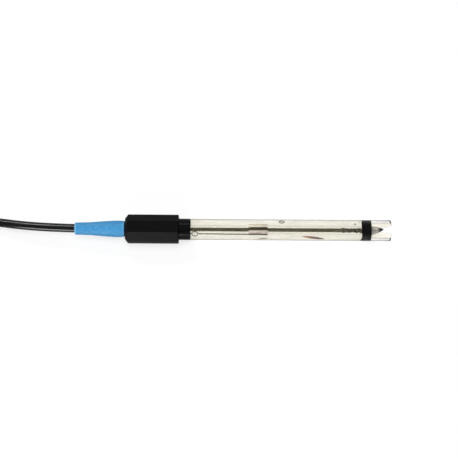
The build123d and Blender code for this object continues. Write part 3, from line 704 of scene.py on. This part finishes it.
def stem_profile(sizes, inset, flare_steps=8, tip_steps=24, taper=1.5, fullness=0.73):
    """Outline of the stem and its pointed membrane, from the top to the point, drawn in by inset."""
    radius = sizes.stem_radius - inset
    neck = NECK_RADIUS - inset
    start = NECK_X - sizes.flare
    end = TIP_X - inset * 1.5
    points = [(STEM_TOP_X, radius)]
    for t in (k / flare_steps for k in range(flare_steps + 1)):
        points.append((start + sizes.flare * t, radius + (neck - radius) * t * t * (3 - 2 * t)))
    for t in (sin(pi / 2 * k / tip_steps) for k in range(1, tip_steps)):
        points.append((NECK_X + (end - NECK_X) * t, neck * (1 - t ** taper) ** fullness))
    points.append((end, 0))
    return points


def drawn_aside(x, radius, angle):
    """The membrane's point was drawn off a little to +Y as it was blown."""
    share = max(0.0, (x - NECK_X) / (TIP_X - NECK_X))
    return x, radius, 0.75 * MM * share ** 1.4


class MakeStem(bpy.types.Operator):
    """Glass stem with its pointed membrane, and the buffer inside it"""

    bl_idname = "ph_electrode.stem"
    bl_label = "Glass stem"

    def execute(self, context):
        sizes = context.scene.ph_clear
        outer = stem_profile(sizes, 0)
        inner = stem_profile(sizes, sizes.stem_wall)[::-1]
        slots = [1 if x >= NECK_X - 0.01 * MM else 0 for x, _ in outer] + [2] * len(inner)
        slots[-1] = 0
        materials = [stem_glass(), membrane_glass(sizes.glass_tint), stem_glass_inside()]
        grid = turned(outer + inner, slots, 96, drawn_aside)
        stem = link("glass_stem_clear", finished_mesh("glass_stem_clear", grid, materials), BODY)
        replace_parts(stem, "glass_stem")
        level = edge("inner_buffer", 0, 0)
        inside = [(x, r) for x, r in stem_profile(sizes, sizes.stem_wall + 0.02 * MM) if x > level]
        column = [(level, 0), (level, inside[0][1])] + inside
        grid = turned(column, None, 64, drawn_aside)
        mesh = finished_mesh("buffer_column", grid, [buffer_solution()])
        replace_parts(link("buffer_column", mesh, BODY), "inner_buffer")
        return {"FINISHED"}


def ellipsoid(centre, radii, material, name, turn=0.0):
    """A smooth ellipsoid. turn tips it about X."""
    grid = bmesh.new()
    bmesh.ops.create_icosphere(grid, subdivisions=4, radius=1)
    for vertex in grid.verts:
        x, y, z = (vertex.co[i] * radii[i] for i in range(3))
        vertex.co = (centre[0] + x, centre[1] + y * cos(turn) - z * sin(turn),
                     centre[2] + y * sin(turn) + z * cos(turn))
    return finished_mesh(name, grid, [material])


def wall_film(start, end, turn_start, turn_end, width, material, name):
    """A thin crescent on the bore's wall. Turns are degrees from straight up towards -Y, width is degrees."""
    grid = bmesh.new()
    rows, columns = 24, 6
    layers = []
    for depth in (0.06 * MM, 0.14 * MM):
        radius = BORE_RADIUS - depth
        layer = []
        for i in range(rows + 1):
            share = 0.02 + 0.96 * i / rows
            x = start + (end - start) * share
            half = width / 2 * sin(pi * share) ** 0.8
            centre = turn_start + (turn_end - turn_start) * share
            turns = [radians(centre + half * (2 * j / columns - 1)) for j in range(columns + 1)]
            layer.append([grid.verts.new((x, -radius * sin(a), AXIS_Z + radius * cos(a))) for a in turns])
        layers.append(layer)
    loops = []
    for layer in layers:
        for i in range(rows):
            for j in range(columns):
                grid.faces.new([layer[i][j], layer[i + 1][j], layer[i + 1][j + 1], layer[i][j + 1]])
        loops.append([row[0] for row in layer] + layer[rows][1:] + [row[columns] for row in layer[-2::-1]]
                     + layer[0][-2:0:-1])
    for k in range(len(loops[0])):
        after = (k + 1) % len(loops[0])
        grid.faces.new([loops[0][k], loops[0][after], loops[1][after], loops[1][k]])
    bmesh.ops.recalc_face_normals(grid, faces=grid.faces)
    return finished_mesh(name, grid, [material])


class MakeGel(bpy.types.Operator):
    """Gel electrolyte, the bubbles in it with painted shade for the small ones by the seal, and two thin
    films on the bore's wall
    """

    bl_idname = "ph_electrode.gel"
    bl_label = "Gel"

    def execute(self, context):
        sizes = context.scene.ph_clear
        radius = BORE_RADIUS - 0.01 * MM
        front = SEAL_BACK_X + 0.5 * MM
        outline = [(GEL_BACK_X, 0), (GEL_BACK_X, radius), (front, radius), (front, 0)]
        mesh = finished_mesh("gel_column", turned(outline, None, 128), [gel_electrolyte(sizes.gel_tint)])
        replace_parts(link("gel_column", mesh, BODY), "electrolyte_gel")
        gas = gas_bubble()
        bubble_shade = chloride_crust()
        # Millimetres along X, aside and above the axis; radii; tip about X.
        beads = {
            "wall_bubble": ((28.0, 3.4, 1.9), (1.75, 1.05, 0.65), radians(-60), gas),
            # Painted shade: these dark grains stand where small bubbles by the seal look dark.
            "bubble_shade_by_seal": ((69.8, 2.5, 2.3), (0.45, 0.4, 0.4), 0, bubble_shade),
            "bubble_shade_by_seal_2": ((72.2, 3.35, 2.0), (0.26, 0.2, 0.2), 0, bubble_shade),
            "bubble_shade_by_seal_3": ((73.4, 3.4, 1.7), (0.2, 0.17, 0.17), 0, bubble_shade),
        }
        for name, (centre, radii, turn, material) in beads.items():
            place = (centre[0] * MM, centre[1] * MM, AXIS_Z + centre[2] * MM)
            mesh = ellipsoid(place, [r * MM for r in radii], material, name, turn)
            link(name, mesh, BODY)
        start = 39.0 * MM
        film = wall_film(start, 53.0 * MM, 54, 80, 24, brown_wall_film(start), "brown_film")
        link("brown_film", film, BODY)
        grey = surface("grey_film", linear("8A8880"), linear("6C6A64"), 0.3 * MM, 0.6)
        film = wall_film(14.0 * MM, 20.5 * MM, 84, 76, 10, grey, "grey_film")
        link("grey_film", film, BODY)
        return {"FINISHED"}


def new_tree(name, inputs):
    """A Geometry Nodes tree, the sockets of its named inputs, and their identifiers by name."""
    tree = bpy.data.node_groups.new(name, "GeometryNodeTree")
    keys = {}
    for label, kind in inputs.items():
        socket = tree.interface.new_socket(label, in_out="INPUT", socket_type="NodeSocket" + kind)
        keys[label] = socket.identifier
    tree.interface.new_socket("Geometry", in_out="OUTPUT", socket_type="NodeSocketGeometry")
    return tree, add_node(tree, "NodeGroupInput").outputs, keys


def end_tree(tree, geometry, material):
    """Ends a tree: its instances become real and get their material."""
    real = result(tree, "GeometryNodeRealizeInstances", {"Geometry": geometry})
    painted = result(tree, "GeometryNodeSetMaterial", {"Geometry": real, "Material": material})
    add_node(tree, "NodeGroupOutput", sockets={"Geometry": painted})


def polar(tree, radius, turn):
    """How far aside and how far up a point lies at a radius and an angle."""
    return [calc(tree, "MULTIPLY", radius, calc(tree, way, turn)) for way in ("COSINE", "SINE")]


def rope_tree():
    """Geometry Nodes: strands twisted round a straight line from one point on the axis to another."""
    tree, given, keys = new_tree("twisted_rope", {
        "Start": "Vector", "End": "Vector", "Strand Radius": "Float", "Pitch": "Float", "Strands": "Int",
        "Points": "Int", "Material": "Material",
    })
    line = result(tree, "GeometryNodeCurvePrimitiveLine", {"Start": given["Start"], "End": given["End"]})
    fine = result(tree, "GeometryNodeResampleCurve", {"Curve": line, "Count": given["Points"]})
    sockets = {"Geometry": fine, "Amount": given["Strands"]}
    copies = add_node(tree, "GeometryNodeDuplicateElements", {"domain": "SPLINE"}, sockets).outputs
    along = add_node(tree, "GeometryNodeSplineParameter").outputs
    turns = calc(tree, "DIVIDE", along["Length"], given["Pitch"])
    share = calc(tree, "DIVIDE", copies["Duplicate Index"], given["Strands"])
    turn = calc(tree, "MULTIPLY", calc(tree, "ADD", turns, share), 2 * pi)
    from_end = calc(tree, "PINGPONG", along["Factor"], 0.5)
    drawn_in = calc(tree, "MINIMUM", calc(tree, "MULTIPLY", from_end, 60.0), 1.0)
    aside, up = polar(tree, calc(tree, "MULTIPLY", given["Strand Radius"], drawn_in), turn)
    offset = result(tree, "ShaderNodeCombineXYZ", {"Y": aside, "Z": up})
    twisted = result(tree, "GeometryNodeSetPosition", {"Geometry": copies[0], "Offset": offset})
    ring = result(tree, "GeometryNodeCurvePrimitiveCircle",
                  {"Resolution": 10, "Radius": given["Strand Radius"]})
    strands = result(tree, "GeometryNodeCurveToMesh",
                     {"Curve": twisted, "Profile Curve": ring, "Fill Caps": True})
    end_tree(tree, strands, given["Material"])
    return tree, keys


def bead_tree():
    """Geometry Nodes: beads of uneven size scattered in a ring round the electrode's axis."""
    tree, given, keys = new_tree("scattered_beads", {
        "Start": "Float", "End": "Float", "Inner": "Float", "Outer": "Float", "Smallest": "Float",
        "Largest": "Float", "Height": "Float", "Count": "Int", "Seed": "Int", "Material": "Material",
    })

    def chance(low, high, shift):
        """A random number between two others, from its own seed."""
        sockets = {2: low, 3: high, "Seed": calc(tree, "ADD", given["Seed"], shift)}
        return result(tree, "FunctionNodeRandomValue", sockets, {"data_type": "FLOAT"}, 1)

    turn = chance(0.0, 2 * pi, 1)
    aside, up = polar(tree, chance(given["Inner"], given["Outer"], 2), turn)
    spot = result(tree, "ShaderNodeCombineXYZ", {
        "X": chance(given["Start"], given["End"], 3), "Y": aside, "Z": calc(tree, "ADD", given["Height"], up),
    })
    points = result(tree, "GeometryNodePoints", {"Count": given["Count"], "Position": spot})
    bead = result(tree, "GeometryNodeMeshIcoSphere", {"Radius": 1.0, "Subdivisions": 2})
    size = result(tree, "ShaderNodeCombineXYZ", {
        name: chance(given["Smallest"], given["Largest"], 4 + i) for i, name in enumerate("XYZ")
    })
    spread = result(tree, "GeometryNodeInstanceOnPoints", {"Points": points, "Instance": bead, "Scale": size})
    end_tree(tree, spread, given["Material"])
    return tree, keys


def grown(name, tree, keys, values):
    """Runs a Geometry Nodes tree once and returns its result as a plain mesh."""
    host = scratch_object(name, bpy.data.meshes.new(name))
    modifier = host.modifiers.new("grow", "NODES")
    modifier.node_group = tree
    for key, value in values.items():
        modifier[keys[key]] = value
    return evaluated_copy(host, name)


class MakeWires(bpy.types.Operator):
    """Twisted inner wire, reference wire and chloride sleeve"""

    bl_idname = "ph_electrode.wires"
    bl_label = "Wires"

    def execute(self, context):
        sizes = context.scene.ph_wires
        rope_start = NOSE_X - 6 * MM
        rope_end = edge("inner_wire", 1, 0)
        points_per_twist = 16
        mesh = grown("inner_wire_rope", *rope_tree(), {
            "Start": (rope_start, 0, AXIS_Z),
            "End": (rope_end, 0, AXIS_Z),
            "Strand Radius": sizes.strand_radius,
            "Pitch": sizes.rope_pitch,
            "Strands": 2,
            "Points": int((rope_end - rope_start) / sizes.rope_pitch * points_per_twist),
            "Material": chlorided_rope(sizes.rope_colour, sizes.tarnish_colour),
        })
        start, end, radius = edge("inner_wire", 0, 0), rope_start + 1 * MM, 0.4 * MM
        lead = turned([(start, 0), (start, radius), (end, radius), (end, 0)], None, 16)
        lead.from_mesh(mesh)
        lead.to_mesh(mesh)
        lead.free()
        shade_smooth(mesh, radians(60))
        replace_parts(link("inner_wire_rope", mesh, BODY), "inner_wire")
        mesh = grown("rope_crust", *bead_tree(), {
            "Start": 62.5 * MM,
            "End": SEAL_BACK_X - 0.2 * MM,
            "Inner": 0.55 * MM,
            "Outer": 0.82 * MM,
            "Smallest": 0.15 * MM,
            "Largest": 0.42 * MM,
            "Height": AXIS_Z,
            "Count": sizes.crust_count,
            "Seed": 4,
            "Material": chloride_crust(),
        })
        shade_smooth(mesh, radians(60))
        link("rope_crust", mesh, BODY)
        dress(darkened_silver(sizes.wire_colour), "reference_wire")
        dress(silver_chloride(sizes.sleeve_colour, sizes.sleeve_shade), "reference_element")
        return {"FINISHED"}


class MakeTipSeal(bpy.types.Operator):
    """Black cast seal behind the guard, and its porous junction"""

    bl_idname = "ph_electrode.tip_seal"
    bl_label = "Tip seal"

    def execute(self, context):
        sizes = context.scene.ph_clear
        rings = 8
        wetted = BORE_RADIUS + 0.02 * MM
        front = RIM_X - sizes.guard_length
        dome = NECK_X - front
        outline = [(SEAL_BACK_X, wetted * k / rings) for k in range(rings + 1)]
        outline += [(SEAL_BACK_X + 0.4 * MM, wetted), (front, wetted)]
        for share in (k / rings for k in range(rings - 1, 0, -1)):
            outline.append((front + dome * (1 - share * share), wetted * share))
        outline.append((NECK_X, 0))

        def poured(x, radius, angle):
            """The back face as poured: slanted a little, with a lip that creeps along the wall below."""
            if x > SEAL_BACK_X + 0.1 * MM:
                return x, radius, 0
            share = radius / wetted
            slant = -0.35 * MM * sin(angle + 0.6) * share
            creep = 1.1 * MM * max(0.0, -cos(angle - 0.15)) ** 6 * share ** 8
            ripple = 0.12 * MM * sin(5 * angle) * share
            return x + slant + ripple - creep, radius, 0

        material = cast_sealant(context.scene.ph_mouldings.seal_colour)
        mesh = finished_mesh("tip_seal_cast", turned(outline, None, 128, poured), [material])
        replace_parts(link("tip_seal_cast", mesh, BODY), "tip_seal")
        dress(plain_moulding("porous_ceramic", "E6E2D8", "D2CDBF", 0.9), "junction_pin")
        return {"FINISHED"}


def curve_through(marks, steps=8):
    """Points of a smooth curve (Catmull-Rom) through marks of (x, radius)."""
    found = []
    last = len(marks) - 1
    for k in range(last):
        p0, p1, p2, p3 = (Vector(marks[min(max(i, 0), last)]) for i in (k - 1, k, k + 1, k + 2))
        for step in range(steps):
            t = step / steps
            found.append(0.5 * (2 * p1 + (p2 - p0) * t + (2 * p0 - 5 * p1 + 4 * p2 - p3) * t * t
                                + (3 * p1 - p0 - 3 * p2 + p3) * t ** 3))
    return [(point.x, point.y) for point in found] + [marks[last]]


def boot_outline(sizes):
    """The boot from its spigot in the cap, over its rolled edge and swell, to the rim round the cable."""
    spigot_x, spigot_r = edge("strain_relief", 1, 0), 3.6 * MM
    seat_x = CAP_BACK_X + 0.1 * MM
    root = CAP_BACK_X - sizes.boot_gap
    span = root - BOOT_END_X
    groove_r = sizes.boot_root - 0.45 * MM
    roll = 0.12 * MM
    bore = sizes.boot_mouth - 0.92 * MM
    rim_r = sizes.boot_mouth + 0.1 * MM
    outline = [(spigot_x, bore), (spigot_x, spigot_r), (seat_x, spigot_r), (seat_x, groove_r),
               (root, groove_r), (root, sizes.boot_root - roll), (root - roll, sizes.boot_root)]
    outline += curve_through([
        (root - 0.9 * MM, sizes.boot_root + 0.04 * MM),
        (root - span * 0.16, sizes.boot_swell),
        (root - span * 0.42, sizes.boot_swell - 0.42 * MM),
        (root - span * 0.68, sizes.boot_waist),
        (BOOT_END_X + 1.3 * MM, sizes.boot_mouth + 0.02 * MM),
    ])
    rim = [(1.1 * MM, rim_r), (0.35 * MM, rim_r), (0.1 * MM, sizes.boot_mouth),
           (0, sizes.boot_mouth - 0.3 * MM), (0, bore + 0.15 * MM), (0.15 * MM, bore)]
    return outline + [(BOOT_END_X + x, radius) for x, radius in rim]


class MakeMouldings(bpy.types.Operator):
    """Cap and strain relief"""

    bl_idname = "ph_electrode.mouldings"
    bl_label = "Cap and strain relief"

    def execute(self, context):
        sizes = context.scene.ph_mouldings
        dress(moulded_cap_plastic(sizes.cap_colour), "cap")
        mesh = finished_mesh("strain_relief_boot", turned(boot_outline(sizes), None, 96),
                             [moulded_soft_pvc(sizes.boot_colour)])
        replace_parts(link("strain_relief_boot", mesh, BODY), "strain_relief")
        return {"FINISHED"}


class MakeHiddenParts(bpy.types.Operator):
    """Finishes of the parts inside the cap"""

    bl_idname = "ph_electrode.hidden_parts"
    bl_label = "Parts inside the cap"

    def execute(self, context):
        dress(plain_moulding("stopper_rubber", "3A3A3A", "2E2E2E", 0.8), "gel_bung", "stem_stopper")
        dress(fine_metal("tinned_copper_sleeve", "BDBDBB", "A8A8A6", 0.35), "core_splice", "reference_splice")
        dress(plain_moulding("cast_epoxy", "2A2622", "1E1B18", 0.35), "potting")
        dress(fine_metal("bare_copper", "C87F5A", "A9603F", 0.3), "core_conductor")
        dress(fine_metal("copper_braid", "C48862", "8E5A3C", 0.4), "cable_braid")
        dress(plain_moulding("natural_polythene", "E9E9E2", "DADAD2", 0.5), "core_dielectric")
        return {"FINISHED"}


class MakePlug(bpy.types.Operator):
    """Finishes of the bayonet plug on the cable's far end"""

    bl_idname = "ph_electrode.plug"
    bl_label = "Plug"

    def execute(self, context):
        dress(nickel_plate(), "plug_body", "plug_ring", "plug_ferrule")
        dress(plain_moulding("white_fluoropolymer", "EDEDEA", "DEDEDA", 0.5), "plug_insulator")
        dress(fine_metal("gold_plate", "E3B65C", "C99A45", 0.2), "plug_pin")
        dress(plain_moulding("red_silicone", "A83A2C", "8F2E22", 0.6), "plug_gasket")
        dress(fine_metal("spring_steel", "9A9A9C", "808082", 0.3), "plug_spring_washer")
        dress(plain_moulding("moulded_black_rubber", "1B1B1C", "242426", 0.75), "plug_boot")
        return {"FINISHED"}


def hank_points(sizes, centre):
    """Control points of the hank: two turns on the surface, two on top of them."""
    x0, y0 = centre
    low = sizes.diameter / 2
    high = low + sizes.pitch
    inner, outer = sizes.inner_fold, sizes.inner_fold + sizes.pitch
    fold_steps = 6
    step_angle = 180 / fold_steps
    pull = cos(radians(step_angle / 2))

    def lane(way, fold, z):
        """From one fold to the other past the strap, heading towards way."""
        waist = (fold - inner) + sizes.pitch / 2
        found = []
        for at, share in ((-16, 0.42), (-7, 0.03), (7, 0.03), (16, 0.42)):
            lift = sizes.strap_thickness if share < 0.1 else 0
            found.append((x0 + way * at * MM, y0 - way * (waist + (fold - waist) * share), z + lift))
        return found

    def half_turn(end, start, finish, z_start, z_finish, turn_at):
        """Half a turn round one end, entering at one radius and height and leaving at another."""
        found = []
        for k in range(fold_steps):
            angle = radians(90 - step_angle * (k + 0.5))
            moved = min(1, max(0, ((k + 0.5) / fold_steps - turn_at + 0.25) / 0.5))
            radius = (start + (finish - start) * moved) / pull
            z = z_start + (z_finish - z_start) * moved
            x = x0 + end * (sizes.fold_reach + radius * cos(angle))
            found.append((x, y0 - end * radius * sin(angle), z))
        return found

    points = []
    for end, start, finish, z_start, z_finish, turn_at in (
        (-1, outer, outer, low, low, 0.5),
        (1, outer, inner, low, low, 0.75),
        (-1, inner, inner, low, low, 0.5),
        (1, inner, inner, low, high, 0.25),
        (-1, inner, inner, high, high, 0.5),
        (1, inner, outer, high, high, 0.25),
        (-1, outer, outer, high, high, 0.5),
    ):
        points += lane(end, start, z_start) + half_turn(end, start, finish, z_start, z_finish, turn_at)
    return points


class MakeCable(bpy.types.Operator):
    """Cable from the strain relief to the plug, with its tied hank"""

    bl_idname = "ph_electrode.cable"
    bl_label = "Cable"

    def execute(self, context):
        sizes = context.scene.ph_cord
        boot_to_hank = ((-71.5, 0, 7.85), (-107.5, 0, 7.85), (-144.0, 5.4, 2.5), (-162.7, 7.2, 2.5))
        hank_to_plug = ((-216.7, -33.2, 7.7), (-204.7, -31.5, 10.5), (-188.7, -27.0, 17.75),
                        (-171.65, -27.0, 17.75))
        route = [[c * MM for c in place] for place in boot_to_hank]
        route += hank_points(sizes, (middle("hank_strap", 0), middle("hank_strap", 1)))
        route += [[c * MM for c in place] for place in hank_to_plug]
        line = bpy.data.curves.new("cable_jacket_run", "CURVE")
        line.dimensions = "3D"
        line.bevel_depth = sizes.diameter / 2
        line.bevel_resolution = 8
        line.resolution_u = 6
        line.use_fill_caps = True
        spline = line.splines.new("NURBS")
        spline.points.add(len(route) - 1)
        for point, place in zip(spline.points, route):
            point.co = (*place, 1)
        spline.order_u = 3
        spline.use_endpoint_u = True
        line.materials.append(cable_jacket(sizes.jacket_colour))
        cable = link("cable_jacket_run", line, BODY)
        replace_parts(cable, "cable", "cable_hank", "cable_tail")
        dress(woven_strap(), "hank_strap")
        return {"FINISHED"}


class MakeStage(bpy.types.Operator):
    """Floor, light and camera"""

    bl_idname = "ph_electrode.stage"
    bl_label = "Stage"

    def execute(self, context):
        scene = context.scene
        floor_with_shadow(scene.ph_stage)
        soft_sky(scene)
        lamp("key_lamp", (-0.05, 0.02, 1.0), (0.6, 0.6), 6.6)
        lamp("strip_lamp", (-0.235, 0.55, 0.52), (0.35, 0.04), 1.6, in_gloss=True)
        lamp("front_lamp", (-0.27, -0.75, 0.2), (0.4, 0.2), 3.2, in_gloss=True)
        photograph_camera(scene, scene.ph_stage)
        scene.view_settings.view_transform = "Standard"
        scene.cycles.max_bounces = 32
        scene.cycles.transmission_bounces = 32
        scene.cycles.transparent_max_bounces = 48
        return {"FINISHED"}


def white_for_the_eye(tree):
    """The light path, and 1 for what the camera sees, also through glass, with 0 for all other light."""
    path = add_node(tree, "ShaderNodeLightPath").outputs
    return path, calc(tree, "MAXIMUM", path["Is Camera Ray"], path["Is Transmission Ray"])


def floor_with_shadow(stage):
    """Pale paper that keeps the shadow and shows as white to the eye, in gloss and through glass."""
    made, tree = new_material("white_paper")
    path, clear = white_for_the_eye(tree)
    seen = calc(tree, "MAXIMUM", clear, calc(tree, "MULTIPLY", path["Is Glossy Ray"], stage.gloss_share))
    tooth = noise(tree, 0.5 * MM)
    show_principled(tree, {
        "Base Color": stage.floor_colour,
        "Roughness": 1.0,
        "Specular IOR Level": 0.0,
        "Normal": relief(tree, tooth, 0.05, 0.05 * MM),
        "Emission Color": (1, 1, 1, 1),
        "Emission Strength": calc(tree, "MULTIPLY", seen, stage.floor_glow),
    })
    half = stage.floor_size / 2
    corners = ((-half, -half), (half, -half), (half, half), (-half, half))
    grid = bmesh.new()
    grid.faces.new([grid.verts.new((x, y, 0)) for x, y in corners])
    mesh = bpy.data.meshes.new("floor")
    grid.to_mesh(mesh)
    grid.free()
    mesh.materials.append(made)
    floor = bpy.data.objects.new("floor", mesh)
    bpy.context.scene.collection.objects.link(floor)


def soft_sky(scene):
    """World: white to the eye and through glass. Its light is a dome that dims overhead."""
    world = bpy.data.worlds.new("soft_sky")
    scene.world = world
    world.use_nodes = True
    tree = world.node_tree
    tree.nodes.clear()
    way = result(tree, "ShaderNodeTexCoord", output="Generated")
    height = result(tree, "ShaderNodeSeparateXYZ", {0: way}, output=2)
    dome = ranged(tree, height, 0.1, 0.7, 0.34, 0.08, "SMOOTHSTEP")
    strength = calc(tree, "MAXIMUM", dome, white_for_the_eye(tree)[1])
    sky = result(tree, "ShaderNodeBackground", {"Color": (1, 1, 1, 1), "Strength": strength})
    add_node(tree, "ShaderNodeOutputWorld", sockets={"Surface": sky})


def lamp(name, place, size, power, in_gloss=False):
    """A soft box that lights surfaces and, where asked, shows in gloss."""
    light = bpy.data.lights.new(name, "AREA")
    light.shape = "RECTANGLE"
    light.size, light.size_y = size
    light.energy = power
    made = bpy.data.objects.new(name, light)
    made.location = place
    made.rotation_euler = (-Vector(place)).to_track_quat("-Z", "Y").to_euler()
    made.visible_glossy = in_gloss
    made.visible_transmission = False
    made.visible_camera = False
    bpy.context.scene.collection.objects.link(made)


def photograph_camera(scene, stage):
    """The camera, square over the electrode and a little in front of it."""
    data = bpy.data.cameras.new("camera")
    data.lens = 100
    data.sensor_width = 36
    distance = stage.view_width * data.lens / data.sensor_width
    back = Vector((0, -cos(stage.elevation), sin(stage.elevation)))
    camera = bpy.data.objects.new("camera", data)
    target = Vector((-2.1 * MM, 0.35 * MM, AXIS_Z))
    camera.location = target + back * distance
    camera.rotation_euler = (-back).to_track_quat("-Z", "Y").to_euler()
    camera.rotation_euler.rotate_axis("Z", stage.roll)
    data.clip_start, data.clip_end = 0.01, 20
    scene.collection.objects.link(camera)
    scene.camera = camera


OPERATORS = (
    MakeBodyTube, MakeStem, MakeGel, MakeWires, MakeTipSeal, MakeMouldings, MakeHiddenParts, MakePlug,
    MakeCable, MakeStage,
)


class ElectrodePanel(bpy.types.Panel):
    """Lists the electrode's parts and their settings"""

    bl_idname = "VIEW3D_PT_ph_electrode"
    bl_label = "pH electrode"
    bl_space_type = "VIEW_3D"
    bl_region_type = "UI"
    bl_category = "pH electrode"

    def draw(self, context):
        for operator in OPERATORS:
            self.layout.operator(operator.bl_idname)
        for name in SETTINGS:
            box = self.layout.box()
            group = getattr(context.scene, name)
            for item in group.bl_rna.properties:
                if item.identifier not in ("rna_type", "name"):
                    box.prop(group, item.identifier)


SETTINGS = {
    "ph_clear": ClearParts,
    "ph_wires": WireParts,
    "ph_mouldings": Mouldings,
    "ph_cord": CordParts,
    "ph_stage": StageSettings,
}


def register():
    for group in SETTINGS.values():
        bpy.utils.register_class(group)
    for name, group in SETTINGS.items():
        setattr(bpy.types.Scene, name, PointerProperty(type=group))
    for operator in OPERATORS:
        bpy.utils.register_class(operator)
    bpy.utils.register_class(ElectrodePanel)


def unregister():
    bpy.utils.unregister_class(ElectrodePanel)
    for operator in reversed(OPERATORS):
        bpy.utils.unregister_class(operator)
    for name in SETTINGS:
        delattr(bpy.types.Scene, name)
    for group in reversed(SETTINGS.values()):
        bpy.utils.unregister_class(group)


def main():
    register()
    for operator in OPERATORS:
        group, name = operator.bl_idname.split(".")
        getattr(getattr(bpy.ops, group), name)()


if __name__ == "__main__":
    main()
